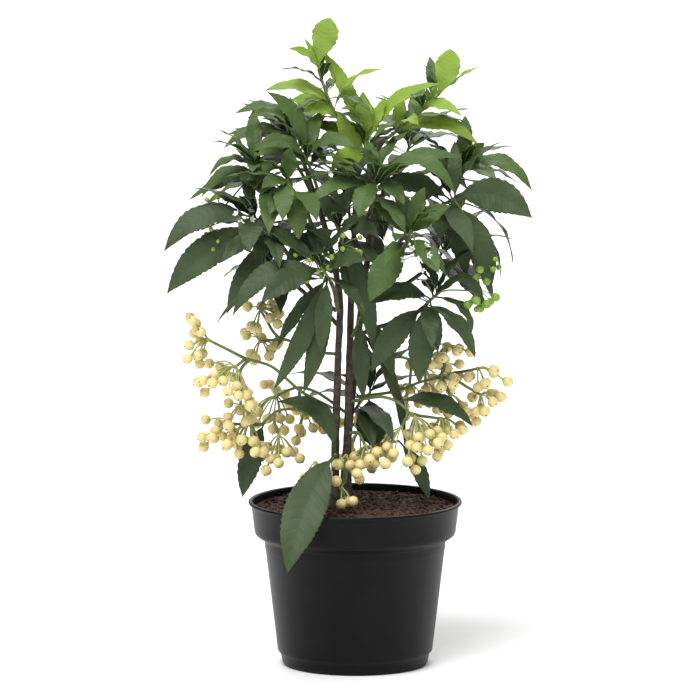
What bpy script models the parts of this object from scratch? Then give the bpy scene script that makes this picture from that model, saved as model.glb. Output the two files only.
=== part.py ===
"""Potted coral ardisia: three stems in a black nursery pot, a leafy crown and umbels of cream berries.

Metres, +Z up. The origin is the middle of the pot's flat underside, +X is the plant's right and -Y its
front. Every leaf, twig and berry grows from its own stem by a seeded rule, and is left out where it
would touch a limb or another mass.
"""

import math
import random
from collections import namedtuple

import bmesh
import bpy
from mathutils import Matrix, Vector
from mathutils.bvhtree import BVHTree

MM = 0.001
GAP = 0.3 * MM
UP = Vector((0, 0, 1))
FRONT = Vector((0, -1, 0))
GOLDEN_TURN = math.radians(137.5)
SEED = 41

# Pot: a 14 cm nursery pot, in millimetres.
RIM_RADIUS = 70.0
RIM_HEIGHT = 108.4
COLLAR_DROP = 20.0
COLLAR_FOOT_RADIUS = 66.0
BODY_TOP_RADIUS = 59.2
BODY_FOOT_RADIUS = 50.8
FOOT_RADIUS = 46.8
WALL = 1.3
FLOOR_TOP = 6.6
FLOOR_UNDERSIDE = 5.0
FOOT_RING_WIDTH = 2.2
PAD_RADIUS = 12.0
POT_SIDES = 24
NOTCH_COUNT = 8
NOTCH_TOP_WIDTH = 9.2
NOTCH_FOOT_WIDTH = 15.0

# Soil: it fills the pot to a little under the rim and is heaped where the stems stand.
SOIL_EDGE_HEIGHT = 103.7
SOIL_TOP_HEIGHT = 105.2
SOIL_FLAT_RADIUS = 24.0

# Limbs.
STEM_SIDES = 8
BOUGH_SIDES = 5
TWIG_SIDES = 3
STEM_RADIUS = 2.9
STEM_TIP_RADIUS = 1.5
FLARE_RADIUS = 3.4
FLARE_HEIGHT = 14.0
BOUGH_RADIUS = 1.5
TWIG_RADIUS = 1.4
TWIG_TIP_RADIUS = 1.1
FOOT_RUN = 1.6

# Leaves.
PETIOLE_SHARE = 0.09
LEAF_ROOT_WIDTH = 1.0
LEAF_ROOT_KEEL = 0.7
LEAF_KEEL = 1.3
LEAF_RINGS = (0.34, 0.68)
FREE_FROM = 0.15
ROOT_SPACING = 1.4
ROOM_MARGIN = 0.6

# Berries.
BERRY_RADIUS = 3.75
BERRY_SPACING = 7.7
PEDICEL_RADIUS = 0.55
HUB_RADIUS = 2.4
PEDICEL_START = 1.3

STEMS = {
    # Points of each stem's middle from the soil to its tip, in millimetres.
    "stem_left": ((-13, -3, 105.5), (-13, -3, 142), (-12, -4, 176), (-11, -6, 209), (-10, -8, 242),
                  (-15, -8, 272), (-22, -8, 299), (-25, -9, 316)),
    "stem_right": ((-5, -2, 105.5), (-5, -1, 149), (-4, -1, 188), (-3, 0, 228), (-2, 0, 268),
                   (0, 0, 301), (-1, 0, 327), (-5, 0, 344), (-8, 0, 354)),
    "stem_back": ((-8, 11, 105.5), (-5, 12, 147), (-1, 12, 186), (3, 12, 226), (8, 12, 266),
                  (12, 10, 296), (12, 8, 316), (9, 5, 328)),
}

# A sprig is one mass of leaves. Its twig runs through `twig`, on a bough that leaves `stem` at the
# height `foot`, on the stem's own tip where `foot` is "tip", or straight on the stem where it is "side".
# Each row of `leaves` is a leaf that the front view shows: where it sits on the twig (0 to 1), its
# reach from there (right, back, up), its width, its bow, and how far its face turns to the front (0 to 1).
# `whorl` is the number, length and first turn of the leaves that the rule adds round the twig.
Sprig = namedtuple("Sprig", "name stem foot age twig leaves whorl")

SPRIGS = (
    Sprig("crest", "stem_right", "tip", "young",
          ((-9, 0, 356), (-14, 0, 366), (-19, -1, 378), (-24, -2, 393)),
          ((1.0, 8, -2, 34, 18, 1, 0.9), (1.0, -9, 4, 20, 5, 1, 0.5), (0.87, -23, -6, 20, 8, 6, 0.5),
           (0.62, 5, -3, 18, 4, -4, 0.3), (0.3, -42, -8, 19, 12, 10, 0.4), (0.29, 31, -10, 29, 8, 8, 0.3),
           (0.25, -21, -14, 3, 10, 4, 0.5), (0.32, -27, 22, 4, 14, 3, 0.7)),
          (4, 38, 70)),
    Sprig("heart", "stem_back", "tip", "young",
          ((8, 4, 330), (7, 0, 339), (6, -3, 348)),
          ((1.0, -1, -8, 32, 13, 0, 0.95), (1.0, 14, -4, 28, 9, 0, 0.7), (0.95, 48, -14, 38, 11, 11, 0.5),
           (1.0, -30, 14, 56, 11, 4, 0.7), (0.97, -16, -12, 21, 10, 16, 0.6), (0.71, -18, -6, 23, 12, -2, 0.9),
           (0.64, -36, 8, 13, 11, 5, 0.6), (0.45, -23, -24, -7, 14, 5, 0.6)),
          (5, 45, 30)),
    Sprig("right_crest", "stem_back", 306, "young",
          ((19, 3, 346), (29, 0, 354), (41, -1, 364), (52, -2, 373)),
          ((1.0, 10, -4, 34, 17, -2, 0.95), (1.0, 29, 2, 22, 8, 2, 0.1), (0.97, -5, -4, 9, 5, 1, 0.6),
           (1.0, 5, -5, 11, 6, 0, 0.6), (0.54, 36, -10, 4, 10, 9, 0.4), (0.33, 11, -26, 5, 10, 5, 0.3),
           (0.22, 5, 6, 23, 9, 0, 0.7), (0.07, 59, 6, -6, 14, 13, 0.5)),
          (4, 44, 100)),
    Sprig("left_crest", "stem_left", "tip", "young",
          ((-26, -10, 318), (-29, -13, 329), (-33, -16, 339)),
          ((1.0, -24, -10, 42, 12, 8, 0.65), (1.0, -33, -20, 5, 13, 10, 0.45),
           (1.0, 33, -16, 6, 13, 10, 0.4), (0.91, -32, -8, 2, 13, 7, 0.5), (0.96, 11, 14, 28, 11, 3, 0.5)),
          (4, 46, 60)),
    Sprig("left_back", "stem_left", 293, "mid",
          ((-35, 14, 333), (-38, 14, 341), (-41, 14, 350)),
          ((1.0, -37, 2, 12, 12, 11, 0.4), (1.0, -30, -12, 11, 10, 9, 0.4), (0.89, -45, -6, -8, 12, 9, 0.35),
           (0.78, -43, 10, 1, 11, 4, 0.4), (0.78, -26, -28, -9, 16, 3, 0.3)),
          (5, 50, 20)),
    Sprig("left", "stem_left", 262, "mid",
          ((-52, 2, 314), (-60, 0, 321), (-66, -2, 329)),
          ((1.0, -29, -6, -5, 8, 10, 0.3), (0.92, 4, -22, -14, 17, 3, 0.0), (0.99, -1, -26, 0, 9, 3, 0.0),
           (0.58, -39, 4, -13, 12, 9, 0.5), (0.39, -50, 14, -14, 12, 8, 0.4), (0.37, -20, 12, 20, 11, 4, 0.5)),
          (5, 55, 80)),
    Sprig("left_low", "stem_left", 236, "old",
          ((-54, -12, 285), (-61, -18, 292), (-67, -22, 300)),
          ((0.99, -57, -10, -22, 18, 13, 0.55), (0.98, -2, -28, -20, 17, 6, 0.0), (0.76, -29, 6, 18, 9, 3, 0.4),
           (0.53, -61, -14, -42, 22, 8, 0.85), (0.36, -28, -18, -19, 11, 3, 0.7),
           (0.16, -23, -6, -54, 14, 2, 0.85), (0.16, -6, -12, -18, 13, 3, 0.5)),
          (4, 60, 40)),
    Sprig("left_middle", "stem_left", 272, "mid",
          ((-36, -22, 311), (-40, -27, 317), (-45, -31, 325)),
          ((0.99, -2, -22, -24, 14, 5, 0.0), (0.64, 5, -18, -32, 15, 4, 0.2), (0.82, -17, -20, -1, 12, 4, 0.4),
           (0.91, 3, -10, 23, 12, 3, 0.6), (0.52, -15, -18, -14, 13, 4, 0.5)),
          (3, 50, 10)),
    Sprig("front", "stem_right", 286, "mid",
          ((11, -22, 309), (12, -27, 317), (14, -31, 327)),
          ((0.87, -11, -20, -22, 17, 4, 0.1), (0.73, -42, -12, -12, 12, 9, 0.45),
           (0.93, 51, -14, -9, 13, 19, 0.45), (0.91, -10, -6, 21, 10, 2, 0.6),
           (0.76, 56, 4, 15, 12, 10, 0.5), (0.68, 19, -24, -10, 13, 6, 0.3)),
          (4, 52, 50)),
    Sprig("right_upper", "stem_back", 292, "mid",
          ((61, 8, 318), (66, 8, 322), (72, 8, 327)),
          ((1.0, 13, -8, 18, 13, 1, 0.8), (1.0, -5, -4, 21, 13, 1, 0.8), (1.0, 43, -4, -14, 14, 14, 0.4),
           (0.97, 35, 14, -12, 8, 6, 0.2), (0.88, 21, -28, -4, 16, 6, 0.1), (0.58, -14, 12, 14, 12, 4, 0.5)),
          (5, 52, 90)),
    Sprig("right", "stem_back", 262, "old",
          ((53, -10, 304), (59, -14, 307), (65, -17, 311)),
          ((0.96, 50, -22, -10, 23, 9, 0.8), (0.78, 27, -12, -53, 18, 6, 0.85),
           (0.75, -45, -18, 12, 16, 6, 0.55), (0.8, 40, 6, -43, 12, 12, 0.0), (0.74, 33, 14, -52, 10, 10, 0.0),
           (0.55, -4, -16, -22, 14, 3, 0.5), (0.53, 13, 2, -49, 14, 3, 0.7), (0.44, 32, 18, -67, 13, 5, 0.6)),
          (3, 60, 15)),
    Sprig("right_front", "stem_right", 252, "mid",
          ((31, -30, 278), (34, -36, 284), (36, -40, 293)),
          ((0.89, -26, -14, -43, 20, 3, 0.85), (0.94, 18, -22, -24, 16, 3, 0.4), (1.0, -5, 4, 27, 12, 2, 0.8),
           (1.0, 9, 0, 28, 12, 1, 0.8), (1.0, 24, -6, 19, 13, 3, 0.7), (0.89, 23, 4, -28, 9, 3, 0.6),
           (0.88, -25, 10, 19, 12, 3, 0.6)),
          (3, 52, 120)),
    Sprig("right_low", "stem_back", 218, "old",
          ((44, -20, 239), (48, -26, 244), (53, -30, 249)),
          ((0.85, -42, -20, -2, 14, 7, 0.55), (0.92, -14, -2, 27, 8, 2, 0.3), (1.0, 31, -4, -7, 11, 15, 0.3),
           (1.0, 21, -4, -30, 9, 11, 0.3), (0.59, -7, -10, -53, 18, 2, 0.9), (0.22, -35, -12, -42, 17, 4, 0.85),
           (0.22, -14, 6, -47, 8, 2, 0.6), (0.67, 4, 8, -36, 10, 2, 0.7)),
          (3, 56, 35)),
    Sprig("front_left", "stem_left", 236, "old",
          ((-16, -34, 258), (-19, -40, 264), (-23, -44, 270)),
          ((1.0, -56, -8, -31, 16, 14, 0.6), (0.97, -38, -26, -20, 17, 5, 0.7), (1.0, -40, 4, 28, 11, 2, 0.5),
           (0.94, 30, -20, 7, 13, 5, 0.6), (0.62, -14, -4, -79, 14, -3, 0.85), (0.65, -33, -8, -76, 13, -3, 0.8),
           (0.38, -4, -12, -49, 12, 2, 0.9), (0.69, -69, 10, -35, 9, 12, 0.3), (0.34, -33, 10, -48, 10, 3, 0.6)),
          (2, 50, 45)),
    Sprig("centre", "stem_right", "side", "old",
          ((-6, -14, 283), (-9, -22, 289), (-13, -28, 295)),
          ((0.98, -33, -14, -25, 16, 3, 0.85), (1.0, 28, -12, -6, 13, 5, 0.7), (0.8, 22, -6, -78, 14, 4, 0.85),
           (0.55, 6, -14, -43, 13, 3, 0.7), (0.95, -12, -4, 23, 12, 2, 0.7), (0.97, 10, -2, 24, 12, 2, 0.7)),
          (3, 46, 25)),
    Sprig("middle", "stem_right", "side", "old",
          ((-1, -7, 222), (2, -12, 228), (4, -16, 234)),
          ((0.87, 2, -6, -53, 12, -2, 0.85), (0.95, 21, 2, -43, 11, 4, 0.8), (0.51, 31, 2, -79, 10, 8, 0.5)),
          (0, 50, 0)),
    Sprig("low_front", "stem_left", "side", "old",
          ((-13, -10, 136), (-13, -22, 142), (-13, -40, 145)),
          ((0.55, -38, 18, 32, 14, 15, 0.55), (1.0, -31, -45, -70, 28, 8, 0.75),
           (0.8, -30, -40, -56, 20, 8, 0.8)),
          (0, 50, 0)),
    Sprig("low_right", "stem_right", "side", "old",
          ((-1, -6, 143), (14, -12, 147), (29, -14, 150)),
          ((1.0, 19, -6, -38, 11, 3, 0.7), (0.96, -3, -12, -48, 8, 9, 0.4)),
          (0, 50, 0)),
    Sprig("low_behind", "stem_back", "side", "old",
          ((2, 18, 169), (5, 23, 172), (10, 27, 174)),
          ((0.9, 4, 10, -37, 22, 2, 0.9),),
          (3, 62, 20)),
    Sprig("back_left_upper", "stem_left", 283, "mid",
          ((-34, 34, 318), (-40, 44, 328), (-44, 52, 338)), (), (10, 58, 15)),
    Sprig("back_right_upper", "stem_back", 300, "mid",
          ((28, 36, 322), (34, 46, 332), (38, 54, 343)), (), (10, 58, 75)),
    Sprig("back_middle", "stem_back", 266, "old",
          ((-2, 48, 282), (-4, 60, 291), (-4, 70, 301)), (), (10, 62, 40)),
    Sprig("back_left_low", "stem_left", 226, "old",
          ((-44, 34, 250), (-54, 44, 257), (-62, 52, 265)), (), (9, 62, 5)),
    Sprig("back_right_low", "stem_back", 236, "old",
          ((46, 36, 256), (55, 45, 263), (62, 53, 271)), (), (9, 62, 55)),
)

# A truss is one fruiting branch. `branch` is its run from the stem, `umbels` its flower heads: where each
# leaves the branch (0 to 1), its hub, its berries, their reach from the hub, the way they point and how
# wide they spread, in degrees. `leaves` has rows like those of a sprig.
Truss = namedtuple("Truss", "name stem branch umbels leaves")

TRUSSES = (
    Truss("fruit_left", "stem_left", ((-17, -5, 171), (-36, -6, 182), (-54, -8, 198), (-72, -10, 204)),
          ((1.0, (-96, -14, 217), 9, 12, (-1, 0, -0.4), 80),
           (0.97, (-78, -12, 199), 17, 19, (-0.6, -0.2, -0.8), 75),
           (0.95, (-75, -8, 172), 6, 13, (-0.3, 0, -0.8), 80)), ()),
    Truss("fruit_left_behind", "stem_left", ((-16, -2, 206), (-30, 4, 207), (-45, 12, 213), (-61, 18, 211)),
          ((1.0, (-62, 19, 211), 8, 13, (0, 0, -0.6), 100),
           (0.75, (-62, 16, 232), 8, 12, (0.1, 0.1, -1), 95)), ()),
    Truss("fruit_left_low", "stem_left", ((-18, 2, 158), (-36, 6, 167), (-51, 4, 167), (-61, 0, 159)),
          ((1.0, (-69, -4, 161), 12, 17, (-0.4, -0.3, -0.9), 62),
           (1.0, (-81, -4, 160), 9, 15, (-0.6, -0.1, -0.8), 70),
           (0.78, (-50, -4, 152), 7, 15, (0, -0.1, -1), 55)),
          ((0.94, -15, -4, -50, 16, 2, 0.9),)),
    Truss("fruit_front_left", "stem_left", ((-15, -8, 128), (-19, -16, 131), (-25, -26, 137)),
          ((1.0, (-26, -28, 138), 6, 14, (0.1, -0.2, -1), 55),), ()),
    Truss("fruit_front_low", "stem_right", ((-4, -6, 128), (-7, -18, 124), (-9, -26, 122)),
          ((1.0, (-9, -28, 121), 3, 12, (0.3, -0.3, -0.9), 45),
           (0.6, (-6, -20, 141), 3, 9, (-0.3, -0.4, -1), 70)), ()),
    Truss("fruit_front", "stem_right", ((-2, -6, 154), (2, -12, 155), (6, -20, 149)),
          ((1.0, (7, -22, 148), 9, 14, (0.2, -0.3, -0.8), 75),), ()),
    Truss("fruit_front_right", "stem_right", ((-1, -6, 175), (16, -12, 179), (28, -16, 176), (37, -20, 168)),
          ((1.0, (39, -22, 167), 16, 19, (0.2, -0.2, -0.9), 58),
           (0.9, (30, -20, 160), 8, 19, (-0.3, -0.2, -1), 50),
           (0.95, (56, -15, 165), 9, 15, (0.3, 0.1, -1), 60)),
          ((0.72, 49, -2, -16, 13, 9, 0.5),)),
    Truss("fruit_right", "stem_back", ((3, 8, 176), (26, 4, 180), (42, -2, 187), (56, -6, 191)),
          ((1.0, (57, -6, 192), 7, 13, (0.1, -0.1, -0.4), 95),
           (0.98, (60, -4, 211), 7, 12, (0, -0.1, -0.4), 100),
           (1.0, (80, -8, 197), 5, 14, (0.8, 0, -0.7), 60),
           (1.0, (82, -10, 180), 7, 12, (0.2, 0, -0.6), 85),
           (0.97, (62, -8, 180), 6, 15, (0.2, 0, -1), 45)), ()),
    Truss("fruit_back_left", "stem_back", ((-11, 18, 164), (-24, 34, 174), (-38, 46, 176), (-50, 54, 170)),
          ((1.0, (-52, 56, 169), 12, 17, (-0.4, 0.4, -0.8), 75),
           (0.7, (-34, 44, 160), 6, 13, (0.1, 0.3, -1), 60)), ()),
    Truss("fruit_back_right", "stem_back", ((3, 17, 188), (18, 32, 196), (32, 46, 196), (44, 56, 188)),
          ((1.0, (46, 58, 187), 12, 17, (0.5, 0.5, -0.8), 75),
           (0.8, (36, 46, 178), 6, 13, (0, 0.2, -1), 60)), ()),
    Truss("fruit_back", "stem_back", ((-8, 18, 140), (-6, 32, 150), (-2, 46, 152), (2, 58, 146)),
          ((1.0, (3, 60, 145), 13, 16, (0, 0.5, -0.9), 75),), ()),
)


def mm(point):
    """A point or vector given in millimetres."""
    return Vector(point) * MM


def smooth_path(points, pieces):
    """A Catmull-Rom curve through the points, with `pieces` steps between each two."""
    ends = [points[0] * 2 - points[1], *points, points[-1] * 2 - points[-2]]
    path = []
    for a, b, c, d in zip(ends, ends[1:], ends[2:], ends[3:]):
        for step in range(pieces):
            t = step / pieces
            path.append(0.5 * (2 * b + (c - a) * t + (2 * a - 5 * b + 4 * c - d) * t * t
                               + (3 * b - a - 3 * c + d) * t ** 3))
    return path + [points[-1].copy()]


def bezier(start, start_way, end, end_way, pieces):
    """A cubic curve that leaves `start` along one direction and reaches `end` along another."""
    reach = (end - start).length * 0.38
    b = start + start_way * reach
    c = end - end_way * reach
    path = []
    for step in range(pieces + 1):
        t = step / pieces
        s = 1 - t
        path.append(start * s ** 3 + b * (3 * s * s * t) + c * (3 * s * t * t) + end * t ** 3)
    return path


def place_on(path, share):
    """The point and direction at a share of the path's length."""
    lengths = [(b - a).length for a, b in zip(path, path[1:])]
    left = share * sum(lengths)
    for a, b, length in zip(path, path[1:], lengths):
        if left <= length:
            return a.lerp(b, left / length), (b - a).normalized()
        left -= length
    return path[-1].copy(), (path[-1] - path[-2]).normalized()


def tube(path, radii, sides):
    """Points and faces of a closed tapering tube with a flat cut at each end."""
    points = []
    side = path[0].cross(path[1]).orthogonal() if len(path) < 2 else (path[1] - path[0]).orthogonal()
    for index, (middle, radius) in enumerate(zip(path, radii)):
        before = path[max(index - 1, 0)]
        after = path[min(index + 1, len(path) - 1)]
        way = (after - before).normalized()
        side = (side - way * side.dot(way)).normalized()
        other = way.cross(side)
        for corner in range(sides):
            turn = 2 * math.pi * corner / sides
            points.append(middle + (side * math.cos(turn) + other * math.sin(turn)) * radius)
    faces = [list(range(sides))[::-1]]
    for ring in range(len(path) - 1):
        for corner in range(sides):
            a = ring * sides + corner
            b = ring * sides + (corner + 1) % sides
            faces.append([a, b, b + sides, a + sides])
    faces.append([(len(path) - 1) * sides + corner for corner in range(sides)])
    return points, faces


def blade_share(share, age):
    """A leaf's width at a share of its length, as a share of its greatest width."""
    along = max(0.0, (share - PETIOLE_SHARE) / (1 - PETIOLE_SHARE))
    base, tip = (1.5, 0.8) if age == "bud" else (0.9, 1.05)
    widest = base / (base + tip)
    return along ** base * (1 - along) ** tip / (widest ** base * (1 - widest) ** tip)


def leaf_axes(reach, outward, face):
    """The leaf's lift, along which it bows, and its blade's normal, turned from lift to the front by `face`."""
    way = reach.normalized()
    across = way.cross(UP)
    if across.length < 0.25:
        across = outward.cross(UP)
    across.normalize()
    lift = across.cross(way).normalized()
    front = FRONT - way * FRONT.dot(way)
    if front.length < 0.05:
        return lift, lift
    normal = lift * (1 - face) + front.normalized() * face
    return lift, normal.normalized()


def leaf_rings(root, reach, outward, width, bow, face, age, shares):
    """The middle, side and normal of the blade at each share of its length, with its half width."""
    lift, normal = leaf_axes(reach, outward, face)
    rings = []
    for share in shares:
        middle = root + reach * share + lift * (bow * 4 * share * (1 - share))
        way = (reach + lift * (bow * 4 * (1 - 2 * share))).normalized()
        side = way.cross(normal).normalized()
        rings.append((middle, side, side.cross(way), width * blade_share(share, age) / 2))
    return rings


def leaf_solid(root, reach, outward, width, bow, face, age, shares=LEAF_RINGS, margin=0.0):
    """Points and faces of one leaf: a three-sided blade with a keel, from its sunk root to its tip."""
    rings = leaf_rings(root, reach, outward, width, bow, face, age, (0.0, *shares, 1.0))
    points = []
    keel = LEAF_ROOT_KEEL
    for middle, side, normal, half in rings[:-1]:
        half = max(half, LEAF_ROOT_WIDTH * MM / 2) + margin
        points += [middle + side * half + normal * margin, middle - side * half + normal * margin,
                   middle - normal * (keel * MM + margin)]
        keel = LEAF_KEEL
    points.append(rings[-1][0] + reach.normalized() * margin)
    tip = len(points) - 1
    faces = [[0, 1, 2]]
    for ring in range(0, tip - 3, 3):
        for corner in range(3):
            a = ring + corner
            b = ring + (corner + 1) % 3
            faces.append([a, a + 3, b + 3, b])
    faces += [[tip - 3, tip, tip - 2], [tip - 2, tip, tip - 1], [tip - 1, tip, tip - 3]]
    return points, faces


def berry_solid(hub, centre, margin=0.0):
    """Points and faces of one berry on its three-sided stalk, in one closed piece."""
    way = (centre - hub).normalized()
    radius = BERRY_RADIUS * MM + margin
    side = way.orthogonal().normalized()
    other = way.cross(side)
    rings = ((hub + way * PEDICEL_START * MM, PEDICEL_RADIUS * MM + margin, 3, 0.0),
             (centre - way * radius * 0.97, PEDICEL_RADIUS * MM + margin, 3, 0.0),
             (centre - way * radius * 0.4, radius * 0.95, 4, 0.0),
             (centre + way * radius * 0.5, radius * 0.9, 4, 0.5))
    points = []
    for middle, reach, count, shift in rings:
        for corner in range(count):
            turn = 2 * math.pi * (corner + shift) / count
            points.append(middle + (side * math.cos(turn) + other * math.sin(turn)) * reach)
    points.append(centre + way * radius)
    faces = [[2, 1, 0], [0, 1, 4, 3], [1, 2, 5, 4], [2, 0, 3, 5],
             [3, 7, 6], [3, 4, 7], [4, 8, 7], [4, 5, 8], [5, 9, 8], [5, 3, 9], [3, 6, 9]]
    for corner in range(4):
        a = 6 + corner
        b = 6 + (corner + 1) % 4
        faces += [[a, b, a + 4], [b, b + 4, a + 4], [a + 4, b + 4, 14]]
    return points, faces


def hub_solid(hub):
    """The small knob that an umbel's stalks spring from."""
    shape = bmesh.new()
    bmesh.ops.create_uvsphere(shape, u_segments=4, v_segments=2, radius=HUB_RADIUS * MM,
                              matrix=Matrix.Translation(hub))
    points = [vert.co.copy() for vert in shape.verts]
    shape.verts.index_update()
    faces = [[vert.index for vert in face.verts] for face in shape.faces]
    shape.free()
    return points, faces


class Room:
    """What the plant already fills, so that nothing new touches a neighbour."""

    def __init__(self):
        self.taken = []

    @staticmethod
    def shape(points, faces):
        middle = sum(points, Vector()) / len(points)
        reach = max((point - middle).length for point in points)
        return middle, reach, BVHTree.FromPolygons([tuple(point) for point in points], faces)

    def add(self, owner, points, faces, outer=0):
        """Takes the room of a piece; its own mass minds only the faces from `outer` on."""
        self.taken.append((owner, self.shape(points, faces), self.shape(points, faces[outer:])))

    def clear(self, owner, wide, plain, outer=0):
        """True where the widened piece touches no other owner, and the piece itself only its own twig's root."""
        mine_wide = self.shape(*wide)
        mine_free = self.shape(plain[0], plain[1][outer:])
        for other, whole, free in self.taken:
            mine, theirs = (mine_free, free) if other == owner else (mine_wide, whole)
            if (mine[0] - theirs[0]).length > mine[1] + theirs[1]:
                continue
            if mine[2].overlap(theirs[2]):
                return False
        return True


def material(name, colour, roughness, metallic=0.0):
    """The Principled material of one kind of piece, made once."""
    made = bpy.data.materials.get(name)
    if made:
        return made
    made = bpy.data.materials.new(name)
    made.use_nodes = True
    shader = made.node_tree.nodes["Principled BSDF"]
    shader.inputs["Base Color"].default_value = (*colour, 1.0)
    shader.inputs["Roughness"].default_value = roughness
    shader.inputs["Metallic"].default_value = metallic
    return made


def new_object(name, points, faces, collection=None):
    """A mesh object from points and faces."""
    mesh = bpy.data.meshes.new(name)
    mesh.from_pydata([tuple(point) for point in points], [], faces)
    mesh.validate()
    made = bpy.data.objects.new(name, mesh)
    (collection or bpy.context.scene.collection).objects.link(made)
    return made


def turned(name, profile, sides):
    """A closed solid turned about Z from an outline that starts and ends on the axis."""
    shape = bmesh.new()
    corners = [shape.verts.new((radius * MM, 0, height * MM)) for radius, height in profile]
    edges = [shape.edges.new(pair) for pair in zip(corners, corners[1:])]
    bmesh.ops.spin(shape, geom=corners + edges, axis=(0, 0, 1), cent=(0, 0, 0),
                   angle=2 * math.pi, steps=sides, use_merge=True)
    bmesh.ops.remove_doubles(shape, verts=shape.verts, dist=0.01 * MM)
    bmesh.ops.recalc_face_normals(shape, faces=shape.faces)
    mesh = bpy.data.meshes.new(name)
    shape.to_mesh(mesh)
    shape.free()
    made = bpy.data.objects.new(name, mesh)
    bpy.context.scene.collection.objects.link(made)
    return made


def finish(made, look, sharp=40):
    """Gives an object its material and smooth shading."""
    made.data.materials.clear()
    made.data.materials.append(look)
    made.data.shade_smooth()
    made.data.set_sharp_from_angle(angle=math.radians(sharp))
    return made


def wall_radius(height):
    """The pot's inner radius at a height, all in millimetres."""
    foot, top = FLOOR_TOP + 3.4, RIM_HEIGHT - COLLAR_DROP - 4.6
    share = (height - foot) / (top - foot)
    return BODY_FOOT_RADIUS + (BODY_TOP_RADIUS - BODY_FOOT_RADIUS) * share - WALL


def build_pot():
    """The black pot: tapered body, stepped collar, thin lip and a notched foot ring."""
    collar_foot = RIM_HEIGHT - COLLAR_DROP
    body_top = collar_foot - 6.0
    profile = (
        (0, 0), (PAD_RADIUS, 0), (PAD_RADIUS + 1.2, FLOOR_UNDERSIDE),
        (FOOT_RADIUS - FOOT_RING_WIDTH - 0.6, FLOOR_UNDERSIDE), (FOOT_RADIUS - FOOT_RING_WIDTH, 0),
        (FOOT_RADIUS, 0), (FOOT_RADIUS + 1.0, 1.8), (FOOT_RADIUS + 1.7, 5.4),
        (BODY_FOOT_RADIUS, 9.8), (BODY_TOP_RADIUS, body_top), (COLLAR_FOOT_RADIUS - 1.6, collar_foot - 2.8),
        (COLLAR_FOOT_RADIUS, collar_foot), (RIM_RADIUS - 1.8, RIM_HEIGHT - 2.2),
        (RIM_RADIUS, RIM_HEIGHT - 1.4), (RIM_RADIUS - 0.4, RIM_HEIGHT), (RIM_RADIUS - 2.5, RIM_HEIGHT),
        (RIM_RADIUS - 3.1, RIM_HEIGHT - 2.4), (COLLAR_FOOT_RADIUS - WALL, collar_foot + 0.6),
        (BODY_TOP_RADIUS - WALL, body_top + 1.2), (BODY_FOOT_RADIUS - WALL, FLOOR_TOP + 3.4),
        (BODY_FOOT_RADIUS - 3.4, FLOOR_TOP), (0, FLOOR_TOP))
    pot = turned("pot", profile, POT_SIDES)
    notches = bpy.data.collections.new("notches")
    bpy.context.scene.collection.children.link(notches)
    for index in range(NOTCH_COUNT):
        shape = bmesh.new()
        bmesh.ops.create_cube(shape, size=1.0)
        for corner in shape.verts:
            width = NOTCH_TOP_WIDTH if corner.co.z > 0 else NOTCH_FOOT_WIDTH
            height = FLOOR_UNDERSIDE - 0.4 if corner.co.z > 0 else -1.0
            corner.co = mm((corner.co.x * width, FOOT_RADIUS + corner.co.y * 10.0, height))
        bmesh.ops.rotate(shape, verts=shape.verts,
                         matrix=Matrix.Rotation(2 * math.pi * index / NOTCH_COUNT, 3, "Z"))
        mesh = bpy.data.meshes.new("notch")
        shape.to_mesh(mesh)
        shape.free()
        cutter = bpy.data.objects.new(f"notch_{index}", mesh)
        cutter.hide_render = True
        cutter.display_type = "WIRE"
        notches.objects.link(cutter)
    cut = pot.modifiers.new("notches", "BOOLEAN")
    cut.operation = "DIFFERENCE"
    cut.operand_type = "COLLECTION"
    cut.collection = notches
    cut.solver = "EXACT"
    return finish(pot, material("black_plastic", (0.012, 0.012, 0.013), 0.42), 30)


def build_soil():
    """The peat that fills the pot, its top level where the stems stand."""
    foot = FLOOR_TOP + GAP / MM
    shoulder = RIM_HEIGHT - COLLAR_DROP
    profile = (
        (0, foot), (BODY_FOOT_RADIUS - 4.0, foot), (BODY_FOOT_RADIUS - WALL - 0.4, FLOOR_TOP + 4.0),
        (BODY_TOP_RADIUS - WALL - 0.5, shoulder - 4.6), (COLLAR_FOOT_RADIUS - WALL - 0.6, shoulder + 0.9),
        (RIM_RADIUS - 3.8, SOIL_EDGE_HEIGHT), (RIM_RADIUS - 12, SOIL_EDGE_HEIGHT + 0.6),
        (SOIL_FLAT_RADIUS, SOIL_TOP_HEIGHT), (0, SOIL_TOP_HEIGHT))
    return finish(turned("soil", profile, POT_SIDES), material("peat", (0.035, 0.018, 0.013), 0.95), 30)


def stem_radius(height):
    """A stem's radius at a height in millimetres, with its flare at the soil."""
    ground = SOIL_TOP_HEIGHT + GAP / MM
    share = min(1.0, max(0.0, (height - ground) / 240))
    flare = max(0.0, 1 - (height - ground) / FLARE_HEIGHT) ** 2
    return (STEM_RADIUS + (STEM_TIP_RADIUS - STEM_RADIUS) * share) + (FLARE_RADIUS - STEM_RADIUS) * flare


def grow_stems(room):
    """The three stems; returns each one's path."""
    paths = {}
    for name, points in STEMS.items():
        path = [mm(points[0]), mm(points[0]) + Vector((0, 0, 7 * MM))]
        path += smooth_path([mm(point) for point in points], 2)[1:]
        path.sort(key=lambda point: point.z)
        path = [point for point in path if point is path[0] or point.z > path[0].z + 2 * MM]
        radii = [stem_radius(point.z / MM) * MM for point in path]
        solid = tube(path, radii, STEM_SIDES)
        room.add(name, *solid)
        finish(new_object(name, *solid), material("bark", (0.075, 0.058, 0.045), 0.75), 60)
        paths[name] = path
    return paths


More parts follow.
